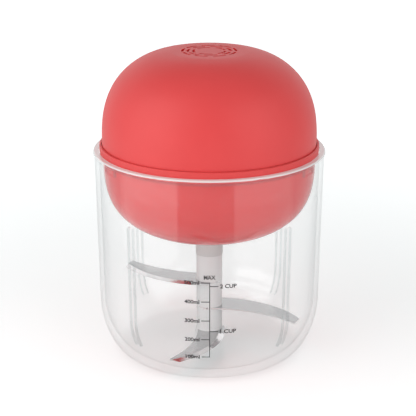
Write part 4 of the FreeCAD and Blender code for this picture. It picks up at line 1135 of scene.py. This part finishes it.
@dataclass
class PowerPack(SubAssembly):
    """Cells, control board, charging socket, switch and leads."""

    columns: int = 5                  # of small parts on the board
    rows: int = 3
    column_pitch: float = 4.2 * MM
    row_pitch: float = 3.4 * MM
    chip: float = 2.1 * MM            # largest side of a board part
    chip_tall: float = 1.0 * MM
    chip_least: float = 0.5           # smallest part, as a share of the largest
    chip_seed: int = 7
    chip_low: float = 7.0 * MM        # lowest row above the board's foot

    def finishes(self) -> dict[str, Finish]:
        """Wrapped cells, green board and sleeved leads."""
        return {"battery_cells": CELL_WRAP, "control_board": SOLDER_MASK, "charge_socket": POLISHED,
                "micro_switch": DARK, "wire_leads": WIRE_SLEEVE, "switch_plunger": GREY}

    def make(self) -> None:
        """Sets small parts on the board's inner face, from one Geometry Nodes tree."""
        number, count = SocketKind.NUMBER, SocketKind.COUNT
        tree = ShapeTree("board_parts", {
            "Columns": count, "Rows": count, "Column Pitch": number, "Row Pitch": number,
            "Part Size": number, "Part Height": number, "Least Share": number, "Seed": count,
            "Face": number, "Low": number})
        sizes = tree.sizes
        wide = tree.math("MULTIPLY", tree.math("SUBTRACT", sizes["Columns"], 1.0), sizes["Column Pitch"])
        tall = tree.math("MULTIPLY", tree.math("SUBTRACT", sizes["Rows"], 1.0), sizes["Row Pitch"])
        grid = tree.add("GeometryNodeMeshGrid", {"Size X": wide, "Size Y": tall,
                                                 "Vertices X": sizes["Columns"],
                                                 "Vertices Y": sizes["Rows"]})
        part = tree.add("GeometryNodeMeshCube", {
            "Size": tree.vector(X=sizes["Part Size"], Y=sizes["Part Size"], Z=sizes["Part Height"])})
        raised = tree.moved(part.outputs["Mesh"],
                            Translation=tree.vector(Z=tree.math("MULTIPLY", sizes["Part Height"], 0.5)))
        share = tree.add("FunctionNodeRandomValue", {
            0: tree.vector(X=sizes["Least Share"], Y=sizes["Least Share"], Z=sizes["Least Share"]),
            1: (1.0, 1.0, 1.0), "Seed": sizes["Seed"]}, data_type="FLOAT_VECTOR")
        parts = tree.copies(grid.outputs["Mesh"], raised, Scale=share.outputs["Value"])
        middle = tree.math("MULTIPLY_ADD", tall, 0.5, sizes["Low"])
        tree.close(tree.moved(parts, Rotation=tree.vector(X=math.pi / 2),
                              Translation=tree.vector(Y=sizes["Face"], Z=middle)))
        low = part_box("control_board")[0]
        mesh = tree.mesh("board_parts", DARK, Columns=self.columns, Rows=self.rows,
                         Column_Pitch=self.column_pitch, Row_Pitch=self.row_pitch,
                         Part_Size=self.chip, Part_Height=self.chip_tall, Least_Share=self.chip_least,
                         Seed=self.chip_seed, Face=low.y, Low=low.z + self.chip_low)
        finish_piece(mesh, "board_parts", "head", DARK)


# ================================================================ studio
class Seen(Enum):
    """What a lamp is for."""

    LIGHTS_ALL = "lights everything"
    GLOSS_ONLY = "shows in gloss alone"
    FILL_ONLY = "lights without a gloss"


@dataclass
class Softbox:
    """A large soft lamp that faces the object."""

    name: str
    azimuth: float                    # degrees round from the front, towards the right
    distance: float                   # from the axis
    height: float
    width: float
    tall: float
    level: float                      # brightness, where white paper in full light has one
    aim: float = 0.09                 # height on the axis that it faces
    seen: Seen = Seen.LIGHTS_ALL

    def build(self) -> None:
        """Adds the lamp."""
        lamp = bpy.data.lights.new(self.name, "AREA")
        lamp.shape = "RECTANGLE"
        lamp.size, lamp.size_y = self.width, self.tall
        lamp.energy = self.level * math.pi * self.width * self.tall
        holder = put(self.name, lamp)
        turn = math.radians(self.azimuth)
        place = Vector((math.sin(turn) * self.distance, -math.cos(turn) * self.distance, self.height))
        holder.location = place
        holder.rotation_euler = (Vector((0, 0, self.aim)) - place).to_track_quat("-Z", "Y").to_euler()
        holder.visible_camera = False
        holder.visible_transmission = False
        holder.visible_diffuse = self.seen is not Seen.GLOSS_ONLY
        holder.visible_glossy = self.seen is not Seen.FILL_ONLY


@dataclass
class Studio:
    """White floor, white surroundings, lamps and the camera."""

    floor: Paper = Paper("paper")
    floor_half: float = 4.0           # half the floor's side
    front_gloss: float = 0.35         # how bright gloss shows the surroundings in front
    front: tuple[float, float] = (-0.1, 0.4)    # Y of a direction where that begins to rise, and is one
    horizon: float = 0.60             # sine of the elevation where they begin to dim in gloss
    zenith: float = 0.85              # and where they are dimmest
    overhead: float = 0.20            # how bright they are there
    world_level: float = 0.34         # how bright they are as light alone
    eye: tuple[float, float, float] = (0.0, -0.6930, 0.3055)
    aim: tuple[float, float, float] = (0.0, 0.0, 0.0777)
    lens: float = 118.8               # millimetres, as the film is
    film: float = 36.0
    nearest: float = 0.01             # what is nearer to the lens isn't seen
    shift: tuple[float, float] = (-0.0031, 0.0012)
    clear_faces: int = 32             # clear faces that a ray may pass on its way
    boxes: tuple[Softbox, ...] = (
        Softbox("left_softbox", -58.0, 0.55, 0.32, 0.62, 0.70, 1.35),
        Softbox("right_softbox", 52.0, 0.60, 0.32, 0.60, 0.70, 0.90),
        Softbox("top_softbox", 0.0, 0.02, 1.10, 1.1, 1.1, 0.15),
        Softbox("front_fill", 0.0, 0.80, 0.05, 0.50, 0.25, 3.7, 0.12, Seen.FILL_ONLY),
        Softbox("left_panel", -58.0, 0.20, 0.15, 0.23, 0.30, 0.7, 0.15, Seen.GLOSS_ONLY),
        Softbox("right_panel", 52.0, 0.20, 0.15, 0.23, 0.30, 0.5, 0.15, Seen.GLOSS_ONLY),
    )

    def build(self) -> None:
        """Adds everything round the object."""
        self._floor()
        self._world()
        self._camera()
        for box in self.boxes:
            box.build()
        bpy.context.scene.view_settings.view_transform = "Standard"
        bpy.context.scene.cycles.transparent_max_bounces = self.clear_faces

    def _floor(self) -> None:
        """A floor of white paper."""
        half = self.floor_half
        mesh = bpy.data.meshes.new("floor")
        corners = [(-half, -half, 0), (half, -half, 0), (half, half, 0), (-half, half, 0)]
        mesh.from_pydata(corners, [], [(0, 1, 2, 3)])
        self.floor.dress(mesh)
        floor = put("floor", mesh)

    def _world(self) -> None:
        """White where it is seen, dimmer overhead in gloss, and softer where it only lights."""
        world = bpy.data.worlds.new("surroundings")
        bpy.context.scene.world = world
        graph = Graph.fresh(world)
        rays = graph.add("ShaderNodeLightPath").outputs
        way = graph.add("ShaderNodeTexCoord").outputs["Generated"]
        fall = graph.math("MULTIPLY", graph.ramp(graph.part(way, "Z"), self.horizon, self.zenith),
                          1.0 - self.overhead)
        behind = graph.math("MULTIPLY_ADD", graph.ramp(graph.part(way, "Y"), *self.front),
                            1.0 - self.front_gloss, self.front_gloss)
        level = graph.math("MULTIPLY", graph.math("SUBTRACT", 1.0, fall), behind)
        gloss = graph.math("MULTIPLY", level, rays["Is Glossy Ray"])
        seen = graph.math("MAXIMUM", in_sight(graph, rays), gloss)
        lit = graph.math("MAXIMUM", seen, self.world_level)
        glow = graph.add("ShaderNodeBackground", {"Strength": lit, "Color": WHITE})
        graph.add("ShaderNodeOutputWorld", {"Surface": glow.outputs[0]})

    def _camera(self) -> None:
        """A long lens at the object's front, looking a little down."""
        data = bpy.data.cameras.new("camera")
        data.lens = self.lens
        data.sensor_width = self.film
        data.shift_x, data.shift_y = self.shift
        data.clip_start = self.nearest
        camera = put("camera", data)
        camera.location = self.eye
        way = Vector(self.aim) - Vector(self.eye)
        camera.rotation_euler = way.to_track_quat("-Z", "Y").to_euler()
        bpy.context.scene.camera = camera


def main() -> None:
    """Builds the model's looks and the studio."""
    logging.basicConfig(level=logging.INFO, format="%(message)s")
    for part in (ClearBowl(), PrintedScale(), BladeTower(), HeadShell(), PressDome(), Gearbox(),
                 Motor(), PowerPack()):
        LOG.info("building %s", type(part).__name__)
        part.build()
    Studio().build()


if __name__ == "__main__":
    main()
